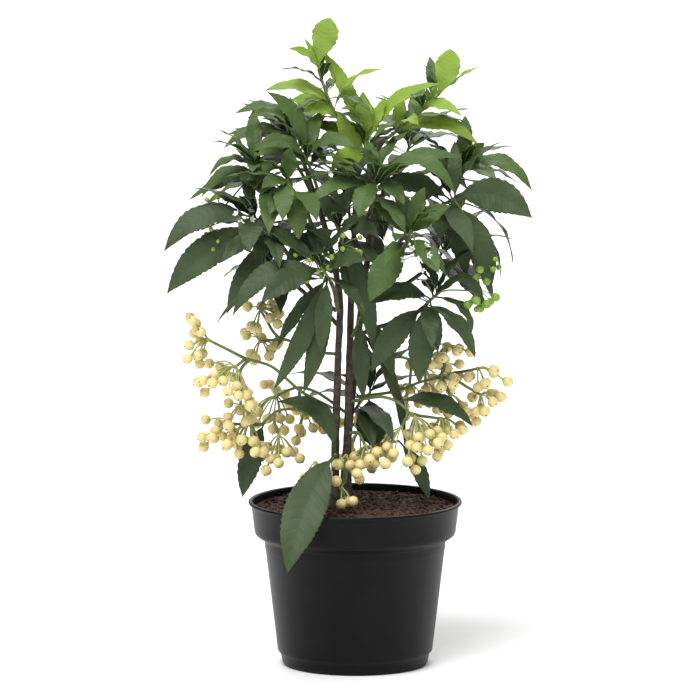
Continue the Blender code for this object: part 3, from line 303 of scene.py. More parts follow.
SPRIGS = (
    Sprig("crest", "stem_right", "tip", "young",
          ((-9, 0, 356), (-14, 0, 366), (-19, -1, 378), (-24, -2, 393)),
          ((1.0, 8, -2, 34, 18, 1, 0.9), (1.0, -9, 4, 20, 5, 1, 0.5), (0.87, -23, -6, 20, 8, 6, 0.5),
           (0.62, 5, -3, 18, 4, -4, 0.3), (0.3, -42, -8, 19, 12, 10, 0.4), (0.29, 31, -10, 29, 8, 8, 0.3),
           (0.25, -21, -14, 3, 10, 4, 0.5), (0.32, -27, 22, 4, 14, 3, 0.7)),
          (4, 38, 70)),
    Sprig("heart", "stem_back", "tip", "young",
          ((8, 4, 330), (7, 0, 339), (6, -3, 348)),
          ((1.0, -1, -8, 32, 13, 0, 0.95), (1.0, 14, -4, 28, 9, 0, 0.7), (0.95, 48, -14, 38, 11, 11, 0.5),
           (1.0, -30, 14, 56, 11, 4, 0.7), (0.97, -16, -12, 21, 10, 16, 0.6),
           (0.71, -18, -6, 23, 12, -2, 0.9),
           (0.64, -36, 8, 13, 11, 5, 0.6), (0.45, -23, -24, -7, 14, 5, 0.6)),
          (5, 45, 30)),
    Sprig("right_crest", "stem_back", 306, "young",
          ((19, 3, 346), (29, 0, 354), (41, -1, 364), (52, -2, 373)),
          ((1.0, 10, -4, 34, 17, -2, 0.95), (1.0, 29, 2, 22, 8, 2, 0.1), (0.97, -5, -4, 9, 5, 1, 0.6),
           (1.0, 5, -5, 11, 6, 0, 0.6), (0.54, 36, -10, 4, 10, 9, 0.4), (0.33, 11, -26, 5, 10, 5, 0.3),
           (0.22, 5, 6, 23, 9, 0, 0.7), (0.07, 59, 6, -6, 14, 13, 0.5)),
          (4, 44, 100)),
    Sprig("left_crest", "stem_left", "tip", "young",
          ((-26, -10, 318), (-29, -13, 329), (-33, -16, 339)),
          ((1.0, -24, -10, 42, 12, 8, 0.65), (1.0, -33, -20, 5, 13, 10, 0.45),
           (1.0, 33, -16, 6, 13, 10, 0.4), (0.91, -32, -8, 2, 13, 7, 0.5), (0.96, 11, 14, 28, 11, 3, 0.5)),
          (4, 46, 60)),
    Sprig("left_back", "stem_left", 293, "mid",
          ((-35, 14, 333), (-38, 14, 341), (-41, 14, 350)),
          ((1.0, -37, 2, 12, 12, 11, 0.4), (1.0, -30, -12, 11, 10, 9, 0.4),
           (0.89, -45, -6, -8, 12, 9, 0.35),
           (0.78, -43, 10, 1, 11, 4, 0.4), (0.78, -26, -28, -9, 16, 3, 0.3)),
          (5, 50, 20)),
    Sprig("left", "stem_left", 262, "mid",
          ((-52, 2, 314), (-60, 0, 321), (-66, -2, 329)),
          ((1.0, -29, -6, -5, 8, 10, 0.3), (0.92, 4, -22, -14, 17, 3, 0.0), (0.99, -1, -26, 0, 9, 3, 0.0),
           (0.58, -39, 4, -13, 12, 9, 0.5), (0.39, -50, 14, -14, 12, 8, 0.4),
           (0.37, -20, 12, 20, 11, 4, 0.5)),
          (5, 55, 80)),
    Sprig("left_low", "stem_left", 236, "old",
          ((-54, -12, 285), (-61, -18, 292), (-67, -22, 300)),
          ((0.99, -57, -10, -22, 18, 13, 0.55), (0.98, -2, -28, -20, 17, 6, 0.0),
           (0.76, -29, 6, 18, 9, 3, 0.4),
           (0.53, -61, -14, -42, 22, 8, 0.85), (0.36, -28, -18, -19, 11, 3, 0.7),
           (0.16, -23, -6, -54, 14, 2, 0.85), (0.16, -6, -12, -18, 13, 3, 0.5)),
          (4, 60, 40)),
    Sprig("left_middle", "stem_left", 272, "mid",
          ((-36, -22, 311), (-40, -27, 317), (-45, -31, 325)),
          ((0.99, -2, -22, -24, 14, 5, 0.0), (0.64, 5, -18, -32, 15, 4, 0.2),
           (0.82, -17, -20, -1, 12, 4, 0.4),
           (0.91, 3, -10, 23, 12, 3, 0.6), (0.52, -15, -18, -14, 13, 4, 0.5)),
          (3, 50, 10)),
    Sprig("front", "stem_right", 286, "mid",
          ((11, -22, 309), (12, -27, 317), (14, -31, 327)),
          ((0.87, -11, -20, -22, 17, 4, 0.1), (0.73, -42, -12, -12, 12, 9, 0.45),
           (0.93, 51, -14, -9, 13, 19, 0.45), (0.91, -10, -6, 21, 10, 2, 0.6),
           (0.76, 56, 4, 15, 12, 10, 0.5), (0.68, 19, -24, -10, 13, 6, 0.3)),
          (4, 52, 50)),
    Sprig("right_upper", "stem_back", 292, "mid",
          ((61, 8, 318), (66, 8, 322), (72, 8, 327)),
          ((1.0, 13, -8, 18, 13, 1, 0.8), (1.0, -5, -4, 21, 13, 1, 0.8), (1.0, 43, -4, -14, 14, 14, 0.4),
           (0.97, 35, 14, -12, 8, 6, 0.2), (0.88, 21, -28, -4, 16, 6, 0.1),
           (0.58, -14, 12, 14, 12, 4, 0.5)),
          (5, 52, 90)),
    Sprig("right", "stem_back", 262, "old",
          ((53, -10, 304), (59, -14, 307), (65, -17, 311)),
          ((0.96, 50, -22, -10, 23, 9, 0.8), (0.78, 27, -12, -53, 18, 6, 0.85),
           (0.75, -45, -18, 12, 16, 6, 0.55), (0.8, 40, 6, -43, 12, 12, 0.0),
           (0.74, 33, 14, -52, 10, 10, 0.0),
           (0.55, -4, -16, -22, 14, 3, 0.5), (0.53, 13, 2, -49, 14, 3, 0.7),
           (0.44, 32, 18, -67, 13, 5, 0.6)),
          (3, 60, 15)),
    Sprig("right_front", "stem_right", 252, "mid",
          ((31, -30, 278), (34, -36, 284), (36, -40, 293)),
          ((0.89, -26, -14, -43, 20, 3, 0.85), (0.94, 18, -22, -24, 16, 3, 0.4),
           (1.0, -5, 4, 27, 12, 2, 0.8),
           (1.0, 9, 0, 28, 12, 1, 0.8), (1.0, 24, -6, 19, 13, 3, 0.7), (0.89, 23, 4, -28, 9, 3, 0.6),
           (0.88, -25, 10, 19, 12, 3, 0.6)),
          (3, 52, 120)),
    Sprig("right_low", "stem_back", 218, "old",
          ((44, -20, 239), (48, -26, 244), (53, -30, 249)),
          ((0.85, -42, -20, -2, 14, 7, 0.55), (0.92, -14, -2, 27, 8, 2, 0.3),
           (1.0, 31, -4, -7, 11, 15, 0.3),
           (1.0, 21, -4, -30, 9, 11, 0.3), (0.59, -7, -10, -53, 18, 2, 0.9),
           (0.22, -35, -12, -42, 17, 4, 0.85),
           (0.22, -14, 6, -47, 8, 2, 0.6), (0.67, 4, 8, -36, 10, 2, 0.7)),
          (3, 56, 35)),
    Sprig("front_left", "stem_left", 236, "old",
          ((-16, -34, 258), (-19, -40, 264), (-23, -44, 270)),
          ((1.0, -56, -8, -31, 16, 14, 0.6), (0.97, -38, -26, -20, 17, 5, 0.7),
           (1.0, -40, 4, 28, 11, 2, 0.5),
           (0.94, 30, -20, 7, 13, 5, 0.6), (0.62, -14, -4, -79, 14, -3, 0.85),
           (0.65, -33, -8, -76, 13, -3, 0.8),
           (0.38, -4, -12, -49, 12, 2, 0.9), (0.69, -69, 10, -35, 9, 12, 0.3),
           (0.34, -33, 10, -48, 10, 3, 0.6)),
          (2, 50, 45)),
    Sprig("centre", "stem_right", "side", "old",
          ((-6, -14, 283), (-9, -22, 289), (-13, -28, 295)),
          ((0.98, -33, -14, -25, 16, 3, 0.85), (1.0, 28, -12, -6, 13, 5, 0.7),
           (0.8, 22, -6, -78, 14, 4, 0.85),
           (0.55, 6, -14, -43, 13, 3, 0.7), (0.95, -12, -4, 23, 12, 2, 0.7),
           (0.97, 10, -2, 24, 12, 2, 0.7)),
          (3, 46, 25)),
    Sprig("middle", "stem_right", "side", "old",
          ((-1, -7, 222), (2, -12, 228), (4, -16, 234)),
          ((0.87, 2, -6, -53, 12, -2, 0.85), (0.95, 21, 2, -43, 11, 4, 0.8),
           (0.51, 31, 2, -79, 10, 8, 0.5)),
          (0, 50, 0)),
    Sprig("low_front", "stem_left", "side", "old",
          ((-13, -10, 136), (-13, -22, 142), (-13, -40, 145)),
          ((0.55, -38, 18, 32, 14, 15, 0.55), (1.0, -31, -45, -70, 28, 8, 0.75),
           (0.8, -30, -40, -56, 20, 8, 0.8)),
          (0, 50, 0)),
    Sprig("low_right", "stem_right", "side", "old",
          ((-1, -6, 143), (14, -12, 147), (29, -14, 150)),
          ((1.0, 19, -6, -38, 11, 3, 0.7), (0.96, -3, -12, -48, 8, 9, 0.4)),
          (0, 50, 0)),
    Sprig("low_behind", "stem_back", "side", "old",
          ((2, 18, 169), (5, 23, 172), (10, 27, 174)),
          ((0.9, 4, 10, -37, 22, 2, 0.9),),
          (3, 62, 20)),
    Sprig("back_left_upper", "stem_left", 283, "mid",
          ((-34, 34, 318), (-40, 44, 328), (-44, 52, 338)), (), (10, 58, 15)),
    Sprig("back_right_upper", "stem_back", 300, "mid",
          ((28, 36, 322), (34, 46, 332), (38, 54, 343)), (), (10, 58, 75)),
    Sprig("back_middle", "stem_back", 266, "old",
          ((-2, 48, 282), (-4, 60, 291), (-4, 70, 301)), (), (10, 62, 40)),
    Sprig("back_left_low", "stem_left", 226, "old",
          ((-44, 34, 250), (-54, 44, 257), (-62, 52, 265)), (), (9, 62, 5)),
    Sprig("back_right_low", "stem_back", 236, "old",
          ((46, 36, 256), (55, 45, 263), (62, 53, 271)), (), (9, 62, 55)),
)

# A truss is one fruiting branch. `branch` is its run from the stem, `umbels` its flower heads: where each
# leaves the branch (0 to 1), its hub, its berries, their reach from the hub, the way they point and how
# wide they spread, in degrees. `leaves` has rows like those of a sprig.
Truss = namedtuple("Truss", "name stem branch umbels leaves")

# A leaf that has its place: its root, its run to the tip, the way out from the twig, its greatest width, its
# bow, how far its face turns to the front and its age.
Leaf = namedtuple("Leaf", "root reach outward width bow face age")

TRUSSES = (
    Truss("fruit_left", "stem_left", ((-17, -5, 171), (-36, -6, 182), (-54, -8, 198), (-72, -10, 204)),
          ((1.0, (-96, -14, 217), 9, 12, (-1, 0, -0.4), 80),
           (0.97, (-78, -12, 199), 17, 19, (-0.6, -0.2, -0.8), 75),
           (0.95, (-75, -8, 172), 6, 13, (-0.3, 0, -0.8), 80)), ()),
    Truss("fruit_left_behind", "stem_left", ((-16, -2, 206), (-30, 4, 207), (-45, 12, 213), (-61, 18, 211)),
          ((1.0, (-62, 19, 211), 8, 13, (0, 0, -0.6), 100),
           (0.75, (-62, 16, 232), 8, 12, (0.1, 0.1, -1), 95)), ()),
    Truss("fruit_left_low", "stem_left", ((-18, 2, 158), (-36, 6, 167), (-51, 4, 167), (-61, 0, 159)),
          ((1.0, (-69, -4, 161), 12, 17, (-0.4, -0.3, -0.9), 62),
           (1.0, (-81, -4, 160), 9, 15, (-0.6, -0.1, -0.8), 70),
           (0.78, (-50, -4, 152), 7, 15, (0, -0.1, -1), 55)),
          ((0.94, -15, -4, -50, 16, 2, 0.9),)),
    Truss("fruit_front_left", "stem_left", ((-15, -8, 128), (-19, -16, 131), (-25, -26, 137)),
          ((1.0, (-26, -28, 138), 6, 14, (0.1, -0.2, -1), 55),), ()),
    Truss("fruit_front_low", "stem_right", ((-4, -6, 128), (-7, -18, 124), (-9, -26, 122)),
          ((1.0, (-9, -28, 121), 3, 12, (0.3, -0.3, -0.9), 45),
           (0.6, (-6, -20, 141), 3, 9, (-0.3, -0.4, -1), 70)), ()),
    Truss("fruit_front", "stem_right", ((-2, -6, 154), (2, -12, 155), (6, -20, 149)),
          ((1.0, (7, -22, 148), 9, 14, (0.2, -0.3, -0.8), 75),), ()),
    Truss("fruit_front_right", "stem_right",
          ((-1, -6, 175), (16, -12, 179), (28, -16, 176), (37, -20, 168)),
          ((1.0, (39, -22, 167), 16, 19, (0.2, -0.2, -0.9), 58),
           (0.9, (30, -20, 160), 8, 19, (-0.3, -0.2, -1), 50),
           (0.95, (56, -15, 165), 9, 15, (0.3, 0.1, -1), 60)),
          ((0.72, 49, -2, -16, 13, 9, 0.5),)),
    Truss("fruit_right", "stem_back", ((3, 8, 176), (26, 4, 180), (42, -2, 187), (56, -6, 191)),
          ((1.0, (57, -6, 192), 7, 13, (0.1, -0.1, -0.4), 95),
           (0.98, (60, -4, 211), 7, 12, (0, -0.1, -0.4), 100),
           (1.0, (80, -8, 197), 5, 14, (0.8, 0, -0.7), 60),
           (1.0, (82, -10, 180), 7, 12, (0.2, 0, -0.6), 85),
           (0.97, (62, -8, 180), 6, 15, (0.2, 0, -1), 45)), ()),
    Truss("fruit_back_left", "stem_back", ((-11, 18, 164), (-24, 34, 174), (-38, 46, 176), (-50, 54, 170)),
          ((1.0, (-52, 56, 169), 12, 17, (-0.4, 0.4, -0.8), 75),
           (0.7, (-34, 44, 160), 6, 13, (0.1, 0.3, -1), 60)), ()),
    Truss("fruit_back_right", "stem_back", ((3, 17, 188), (18, 32, 196), (32, 46, 196), (44, 56, 188)),
          ((1.0, (46, 58, 187), 12, 17, (0.5, 0.5, -0.8), 75),
           (0.8, (36, 46, 178), 6, 13, (0, 0.2, -1), 60)), ()),
    Truss("fruit_back", "stem_back", ((-8, 18, 140), (-6, 32, 150), (-2, 46, 152), (2, 58, 146)),
          ((1.0, (3, 60, 145), 13, 16, (0, 0.5, -0.9), 75),), ()),
)


def mm(point):
    """A point or vector given in millimetres."""
    return Vector(point) * MM


def smooth_path(points, pieces):
    """A Catmull-Rom curve through the points, with `pieces` steps between each two."""
    ends = [points[0] * 2 - points[1], *points, points[-1] * 2 - points[-2]]
    path = []
    for a, b, c, d in zip(ends, ends[1:], ends[2:], ends[3:]):
        for step in range(pieces):
            t = step / pieces
            path.append(0.5 * (2 * b + (c - a) * t + (2 * a - 5 * b + 4 * c - d) * t * t
                               + (3 * b - a - 3 * c + d) * t ** 3))
    return path + [points[-1].copy()]


def bezier(start, start_way, end, end_way, pieces):
    """A cubic curve that leaves `start` along one direction and reaches `end` along another."""
    reach = (end - start).length * CURVE_REACH
    b = start + start_way * reach
    c = end - end_way * reach
    path = []
    for step in range(pieces + 1):
        t = step / pieces
        s = 1 - t
        path.append(start * s ** 3 + b * (3 * s * s * t) + c * (3 * s * t * t) + end * t ** 3)
    return path


def place_on(path, share):
    """The point and direction at a share of the path's length."""
    lengths = [(b - a).length for a, b in zip(path, path[1:])]
    left = share * sum(lengths)
    for a, b, length in zip(path, path[1:], lengths):
        if left <= length:
            return a.lerp(b, left / length), (b - a).normalized()
        left -= length
    return path[-1].copy(), (path[-1] - path[-2]).normalized()


def tube(path, radii, sides):
    """Points and faces of a closed tapering tube with a flat cut at each end."""
    points = []
    side = (path[1] - path[0]).orthogonal()
    for index, (middle, radius) in enumerate(zip(path, radii)):
        before = path[max(index - 1, 0)]
        after = path[min(index + 1, len(path) - 1)]
        way = (after - before).normalized()
        side = (side - way * side.dot(way)).normalized()
        other = way.cross(side)
        for corner in range(sides):
            turn = 2 * math.pi * corner / sides
            points.append(middle + (side * math.cos(turn) + other * math.sin(turn)) * radius)
    faces = [list(range(sides))[::-1]]
    for ring in range(len(path) - 1):
        for corner in range(sides):
            a = ring * sides + corner
            b = ring * sides + (corner + 1) % sides
            faces.append([a, b, b + sides, a + sides])
    faces.append([(len(path) - 1) * sides + corner for corner in range(sides)])
    return points, faces


def blade_share(share, age):
    """A leaf's width at a share of its length, as a share of its greatest width."""
    along = max(0.0, (share - PETIOLE_SHARE) / (1 - PETIOLE_SHARE))
    base, tip = (1.5, 0.8) if age == "bud" else (0.9, 1.05)
    widest = base / (base + tip)
    return along ** base * (1 - along) ** tip / (widest ** base * (1 - widest) ** tip)


def leaf_axes(reach, outward, face):
    """The lift along which a leaf bows, and its blade's normal, turned from lift to the front by `face`."""
    way = reach.normalized()
    across = way.cross(UP)
    if across.length < UPRIGHT_BELOW:
        across = outward.cross(UP)
    across.normalize()
    lift = across.cross(way).normalized()
    front = FRONT - way * FRONT.dot(way)
    if front.length < END_ON_BELOW:
        return lift, lift
    normal = lift * (1 - face) + front.normalized() * face
    return lift, normal.normalized()


def leaf_rings(root, reach, outward, width, bow, face, age, shares):
    """The middle, side and normal of the blade at each share of its length, with its half width."""
    lift, normal = leaf_axes(reach, outward, face)
    rings = []
    for share in shares:
        middle = root + reach * share + lift * (bow * 4 * share * (1 - share))
        way = (reach + lift * (bow * 4 * (1 - 2 * share))).normalized()
        side = way.cross(normal).normalized()
        rings.append((middle, side, side.cross(way), width * blade_share(share, age) / 2))
    return rings


def leaf_solid(root, reach, outward, width, bow, face, age, shares=LEAF_RINGS, margin=0.0):
    """Points and faces of one leaf: a three-sided blade with a keel, from its sunk root to its tip."""
    rings = leaf_rings(root, reach, outward, width, bow, face, age, (0.0, *shares, 1.0))
    points = []
    keel = LEAF_ROOT_KEEL
    for middle, side, normal, half in rings[:-1]:
        half = max(half, LEAF_ROOT_WIDTH * MM / 2) + margin
        points += [middle + side * half + normal * margin, middle - side * half + normal * margin,
                   middle - normal * (keel * MM + margin)]
        keel = LEAF_KEEL
    points.append(rings[-1][0] + reach.normalized() * margin)
    tip = len(points) - 1
    faces = [[0, 1, 2]]
    for ring in range(0, tip - 3, 3):
        for corner in range(3):
            a = ring + corner
            b = ring + (corner + 1) % 3
            faces.append([a, a + 3, b + 3, b])
    faces += [[tip - 3, tip, tip - 2], [tip - 2, tip, tip - 1], [tip - 1, tip, tip - 3]]
    return points, faces


def berry_solid(hub, centre, margin=0.0):
    """Points and faces of one berry on its three-sided stalk, in one closed piece."""
    way = (centre - hub).normalized()
    radius = BERRY_RADIUS * MM + margin
    side = way.orthogonal().normalized()
    other = way.cross(side)
    rings = ((hub + way * PEDICEL_START * MM, PEDICEL_RADIUS * MM + margin, 3, 0.0),
             (centre - way * radius * 0.97, PEDICEL_RADIUS * MM + margin, 3, 0.0),
             (centre - way * radius * 0.4, radius * 0.95, 4, 0.0),
             (centre + way * radius * 0.5, radius * 0.9, 4, 0.5))
    points = []
    for middle, reach, count, shift in rings:
        for corner in range(count):
            turn = 2 * math.pi * (corner + shift) / count
            points.append(middle + (side * math.cos(turn) + other * math.sin(turn)) * reach)
    points.append(centre + way * radius)
    faces = [[2, 1, 0], [0, 1, 4, 3], [1, 2, 5, 4], [2, 0, 3, 5],
             [3, 7, 6], [3, 4, 7], [4, 8, 7], [4, 5, 8], [5, 9, 8], [5, 3, 9], [3, 6, 9]]
    for corner in range(4):
        a = 6 + corner
        b = 6 + (corner + 1) % 4
        faces += [[a, b, a + 4], [b, b + 4, a + 4], [a + 4, b + 4, 14]]
    return points, faces


def hub_solid(hub):
    """The small knob that an umbel's stalks spring from."""
    shape = bmesh.new()
    bmesh.ops.create_uvsphere(shape, u_segments=4, v_segments=2, radius=HUB_RADIUS * MM,
                              matrix=Matrix.Translation(hub))
    points = [vert.co.copy() for vert in shape.verts]
    shape.verts.index_update()
    faces = [[vert.index for vert in face.verts] for face in shape.faces]
    shape.free()
    return points, faces


class Room:
    """What the plant already fills, so that nothing new touches a neighbour."""

    def __init__(self):
        self.taken = []

    @staticmethod
    def shape(points, faces):
        """The middle and reach of a piece, and its faces for the overlap test."""
        middle = sum(points, Vector()) / len(points)
        reach = max((point - middle).length for point in points)
        return middle, reach, BVHTree.FromPolygons([tuple(point) for point in points], faces)

    def add(self, owner, points, faces, outer=0):
        """Takes the room of a piece; its own mass minds only the faces from `outer` on."""
        self.taken.append((owner, self.shape(points, faces), self.shape(points, faces[outer:])))

    def clear(self, owner, wide, plain, outer=0):
        """True where the widened piece touches no other owner, and the piece itself only its twig's root."""
        mine_wide = self.shape(*wide)
        mine_free = self.shape(plain[0], plain[1][outer:])
        for other, whole, free in self.taken:
            mine, theirs = (mine_free, free) if other == owner else (mine_wide, whole)
            if (mine[0] - theirs[0]).length > mine[1] + theirs[1]:
                continue
            if mine[2].overlap(theirs[2]):
                return False
        return True


def stem_radius(height):
    """A stem's radius at a height in millimetres, with its flare at the soil."""
    ground = SOIL_TOP_HEIGHT + GAP / MM
    share = min(1.0, max(0.0, (height - ground) / TAPER_HEIGHT))
    flare = max(0.0, 1 - (height - ground) / FLARE_HEIGHT) ** 2
    return (STEM_RADIUS + (STEM_TIP_RADIUS - STEM_RADIUS) * share) + (FLARE_RADIUS - STEM_RADIUS) * flare


def foot_on(path, height, target):
    """Where a limb leaves a stem at a height: a point just off its side and the way out from it."""
    for low, high in zip(path, path[1:]):
        if high.z >= height:
            break
    middle = low.lerp(high, (height - low.z) / (high.z - low.z))
    way = (high - low).normalized()
    out = target - middle
    out = (out - way * out.dot(way)).normalized()
    return middle + out * (stem_radius(height / MM) * MM + GAP), out


def twig_of(sprig, stems):
    """A sprig's twig path, from just clear of what carries it to its head."""
    points = [mm(point) for point in sprig.twig]
    if sprig.foot == "side":
        foot, out = foot_on(stems[sprig.stem], points[0].z - SIDE_TWIG_DROP * MM, points[1])
        return [foot, *smooth_path([foot + out * FOOT_RUN * MM, *points[1:]], 2)]
    if sprig.foot == "tip":
        tip = stems[sprig.stem][-1]
        way = (tip - stems[sprig.stem][-2]).normalized()
        foot = tip + way * GAP
        return [foot, *smooth_path([foot + way * FOOT_RUN * MM, *points[1:]], 2)]
    return smooth_path(points, 2)


def tapered(first, last, path, share=1.0):
    """A radius for each point of a path, from the first to the last in millimetres."""
    steps = len(path) - 1
    return [(first + (last - first) * index / steps) * share * MM for index in range(len(path))]


def twig_solid(path):
    """The plain solid of a twig."""
    return tube(path, tapered(TWIG_RADIUS, TWIG_TIP_RADIUS, path), TWIG_SIDES)


def clear_of_pot(points):
    """True where every point is above the soil, or above the rim, or hangs clear outside the pot."""
    for point in points:
        out = point.xy.length / MM
        over = SOIL_TOP_HEIGHT + OVER_POT if out < RIM_RADIUS - INSIDE_RIM else RIM_HEIGHT + OVER_POT
        if point.z / MM < over and out < RIM_RADIUS + BESIDE_POT:
            return False
    return True


TRIAL_RINGS = (FREE_FROM, *LEAF_RINGS)
HERO_NUDGES = ((0, 0), (5, 0), (-5, 0), (0, 5), (0, -5), (9, 0), (-9, 0), (7, 7), (-7, 7), (7, -7), (-7, -7),
               (14, 0), (-14, 0), (0, 12), (0, -12), (18, 6), (-18, 6), (18, -6), (-18, -6))
WHORL_NUDGES = tuple((turn, lift) for lift in (0, 10, -10, 20) for turn in (0, 12, -12, 24, -24))


def try_leaf(room, owner, grown, leaf, nudges):
    """Adds a leaf to its mass at the first of a few small turns that leaves it clear, if there is one."""
    for turn, lift in nudges:
        reach = Matrix.Rotation(math.radians(turn), 3, "Z") @ leaf.reach
        across = reach.cross(UP)
        if across.length > 1e-6:
            reach = Matrix.Rotation(math.radians(lift), 3, across.normalized()) @ reach
        tried = leaf._replace(reach=reach)
        wide = leaf_solid(*tried, shares=TRIAL_RINGS, margin=ROOM_MARGIN * MM)
        trial = leaf_solid(*tried, shares=TRIAL_RINGS)
        if clear_of_pot(wide[0]) and room.clear(owner, wide, trial, outer=4):
            room.add(owner, *trial, outer=4)
            grown[owner].append(tried)
            return


def shown_leaves(rows, path, age):
    """The leaves that the front view shows, as the share of the twig where each sits and its shape."""
    leaves = []
    for share, right, back, up, width, bow, face in rows:
        reach = mm((right, back, up))
        outward = Vector((reach.x, reach.y, 0)).normalized()
        kind = "bud" if age == "young" and width > BUD_WIDTH else age
        tip = place_on(path, share)[0] + reach
        leaves.append((share, tip, outward, width * MM, bow * MM, face, kind, True))
    return leaves


def whorl_leaves(whorl, path, age, chance):
    """Leaves round the twig by the golden turn: the upper short and steep, the lower long and drooping."""
    count, length, first_turn = whorl
    leaves = []
    for index in range(count):
        share = index / max(1, count - 1)
        seat = 1.0 - WHORL_RUN * share
        turn = math.radians(first_turn) + index * GOLDEN_TURN
        outward = Vector((math.cos(turn), math.sin(turn), 0))
        rise = math.radians(WHORL_RISE - WHORL_FALL * share + chance.uniform(-WHORL_SWAY, WHORL_SWAY))
        long = length * (WHORL_SHORT + WHORL_GROWTH * share) * chance.uniform(*WHORL_LENGTHS) * MM
        tip = place_on(path, seat)[0] + (outward * math.cos(rise) + UP * math.sin(rise)) * long
        leaves.append((seat, tip, outward, long * WHORL_WIDTH, long * WHORL_BOW, 0.0, age, False))
    return leaves


def seat_leaves(leaves, path):
    """Gives each leaf its own root on the twig, the steep ones uppermost; its tip stays where it was."""
    length = sum((b - a).length for a, b in zip(path, path[1:]))
    order = sorted(leaves, key=lambda leaf: (round(leaf[0], 1), leaf[1].z))
    limit = length - TWIG_END * MM
    seated = []
    for share, tip, *rest in reversed(order):
        seat = min(share * length, limit)
        limit = seat - ROOT_SPACING * MM
        root = place_on(path, max(LOWEST_SEAT, seat / length))[0]
        seated.append((root, tip - root, *rest))
    return seated


def grow_leaves(room, owner, leaves, grown, shown):
    """Adds either the leaves that the front view shows or the rest, where they fit."""
    nudges = HERO_NUDGES if shown else WHORL_NUDGES
    for *leaf, is_shown in leaves:
        if is_shown == shown:
            try_leaf(room, owner, grown, Leaf(*leaf), nudges)


def spray(aim, lean, turn):
    """The direction that leans away from an aim by one angle, at another angle round it."""
    side = aim.orthogonal().normalized()
    other = aim.cross(side)
    return aim * math.cos(lean) + (side * math.cos(turn) + other * math.sin(turn)) * math.sin(lean)


def grow_umbel(room, owner, hub, count, reach, aim, spread, stalked, chance, tries=FIRST_TRIES):
    """Adds berries on their stalks round one hub, none touching another; returns how many fit."""
    aim = Vector(aim).normalized()
    grown = 0
    for attempt in range(count * tries):
        if grown == count:
            break
        lean = math.radians(spread) * math.sqrt((attempt * GOLDEN_SHARE + FIRST_LEAN) % 1.0)
        way = spray(aim, lean, attempt * GOLDEN_TURN)
        centre = hub + way * reach * MM * chance.uniform(*PEDICEL_LENGTHS)
        if min(((centre - berry).length for _, berry in stalked), default=1.0) < BERRY_SPACING * MM:
            continue
        wide = berry_solid(hub, centre, ROOM_MARGIN * MM)
        solid = berry_solid(hub, centre)
        if clear_of_pot(wide[0]) and room.clear(owner, wide, solid, outer=4):
            room.add(owner, *solid, outer=4)
            stalked.append((hub, centre))
            grown += 1
    return grown


def branch_of(truss, stems):
    """A truss's branch, from just clear of its stem."""
    points = [mm(point) for point in truss.branch]
    foot, out = foot_on(stems[truss.stem], points[0].z, points[1])
    return [foot, *smooth_path([foot + out * FOOT_RUN * MM, *points[1:]], 2)]


def side_branches(truss, path):
    """The stalk from the branch to each hub, bent a little upwards on its way."""
    stalks = []
    for share, hub, *_ in truss.umbels:
        start, way = place_on(path, share)
        end = mm(hub)
        if (end - start).length > MM:
            run = (end - start).normalized()
            foot = start - run * SIDE_STALK_SINK * MM
            foot_way = (way + run + UP * SIDE_STALK_LIFT).normalized()
            stalks.append(bezier(foot, foot_way, end, run, SIDE_STALK_PIECES))
    return stalks


def stem_path(points):
    """A stem's middle line: upright at the soil, then smooth through its points."""
    path = [mm(points[0]), mm(points[0]) + Vector((0, 0, STRAIGHT_FOOT * MM))]
    path += smooth_path([mm(point) for point in points], 2)[1:]
    path.sort(key=lambda point: point.z)
    return [point for point in path if point is path[0] or point.z > path[0].z + LEAST_STEP * MM]


def bough_path(sprig, stems):
    """A bough's middle line from just off its stem to just short of its mass."""
    start_twig = mm(sprig.twig[0])
    twig_way = (mm(sprig.twig[1]) - start_twig).normalized()
    start, out = foot_on(stems[sprig.stem], sprig.foot * MM, start_twig)
    path = bezier(start, (out + UP * BOUGH_LIFT).normalized(), start_twig - twig_way * GAP, twig_way,
                  BOUGH_PIECES)
    path.insert(1, start + out * BOUGH_RUN * MM)
    return path


def limb_plan(room):
    """Middle lines of the stems, and those of all limbs with their radii, by node."""
    stems = {name: stem_path(points) for name, points in STEMS.items()}
    limbs = {}
    for name, path in stems.items():
        limbs[name] = (path, [stem_radius(point.z / MM) * MM for point in path])
        room.add(name, *tube(*limbs[name], STEM_SIDES))
    for sprig in SPRIGS:
        if isinstance(sprig.foot, str):
            continue
        path = bough_path(sprig, stems)
        name = "bough_" + sprig.name
        limbs[name] = (path, tapered(BOUGH_RADIUS, TWIG_RADIUS, path))
        room.add(name, *tube(*limbs[name], BOUGH_SIDES))
    return stems, limbs


def twig_plan(room, stems):
    """The twigs and fruiting branches by node, and all side stalks and hubs."""
    twigs = {sprig.name: twig_of(sprig, stems) for sprig in SPRIGS}
    for name, path in twigs.items():
        room.add(name, *twig_solid(path))
    branches = {truss.name: branch_of(truss, stems) for truss in TRUSSES}
    stalks = []
    hubs = []
    for truss in TRUSSES:
        path = branches[truss.name]
        own_stalks = side_branches(truss, path)
        own_hubs = [mm(umbel[1]) for umbel in truss.umbels]
        for line in (path, *own_stalks):
            room.add(truss.name, *twig_solid(line))
        for hub in own_hubs:
            room.add(truss.name, *hub_solid(hub))
        stalks += own_stalks
        hubs += own_hubs
    return twigs, branches, stalks, hubs


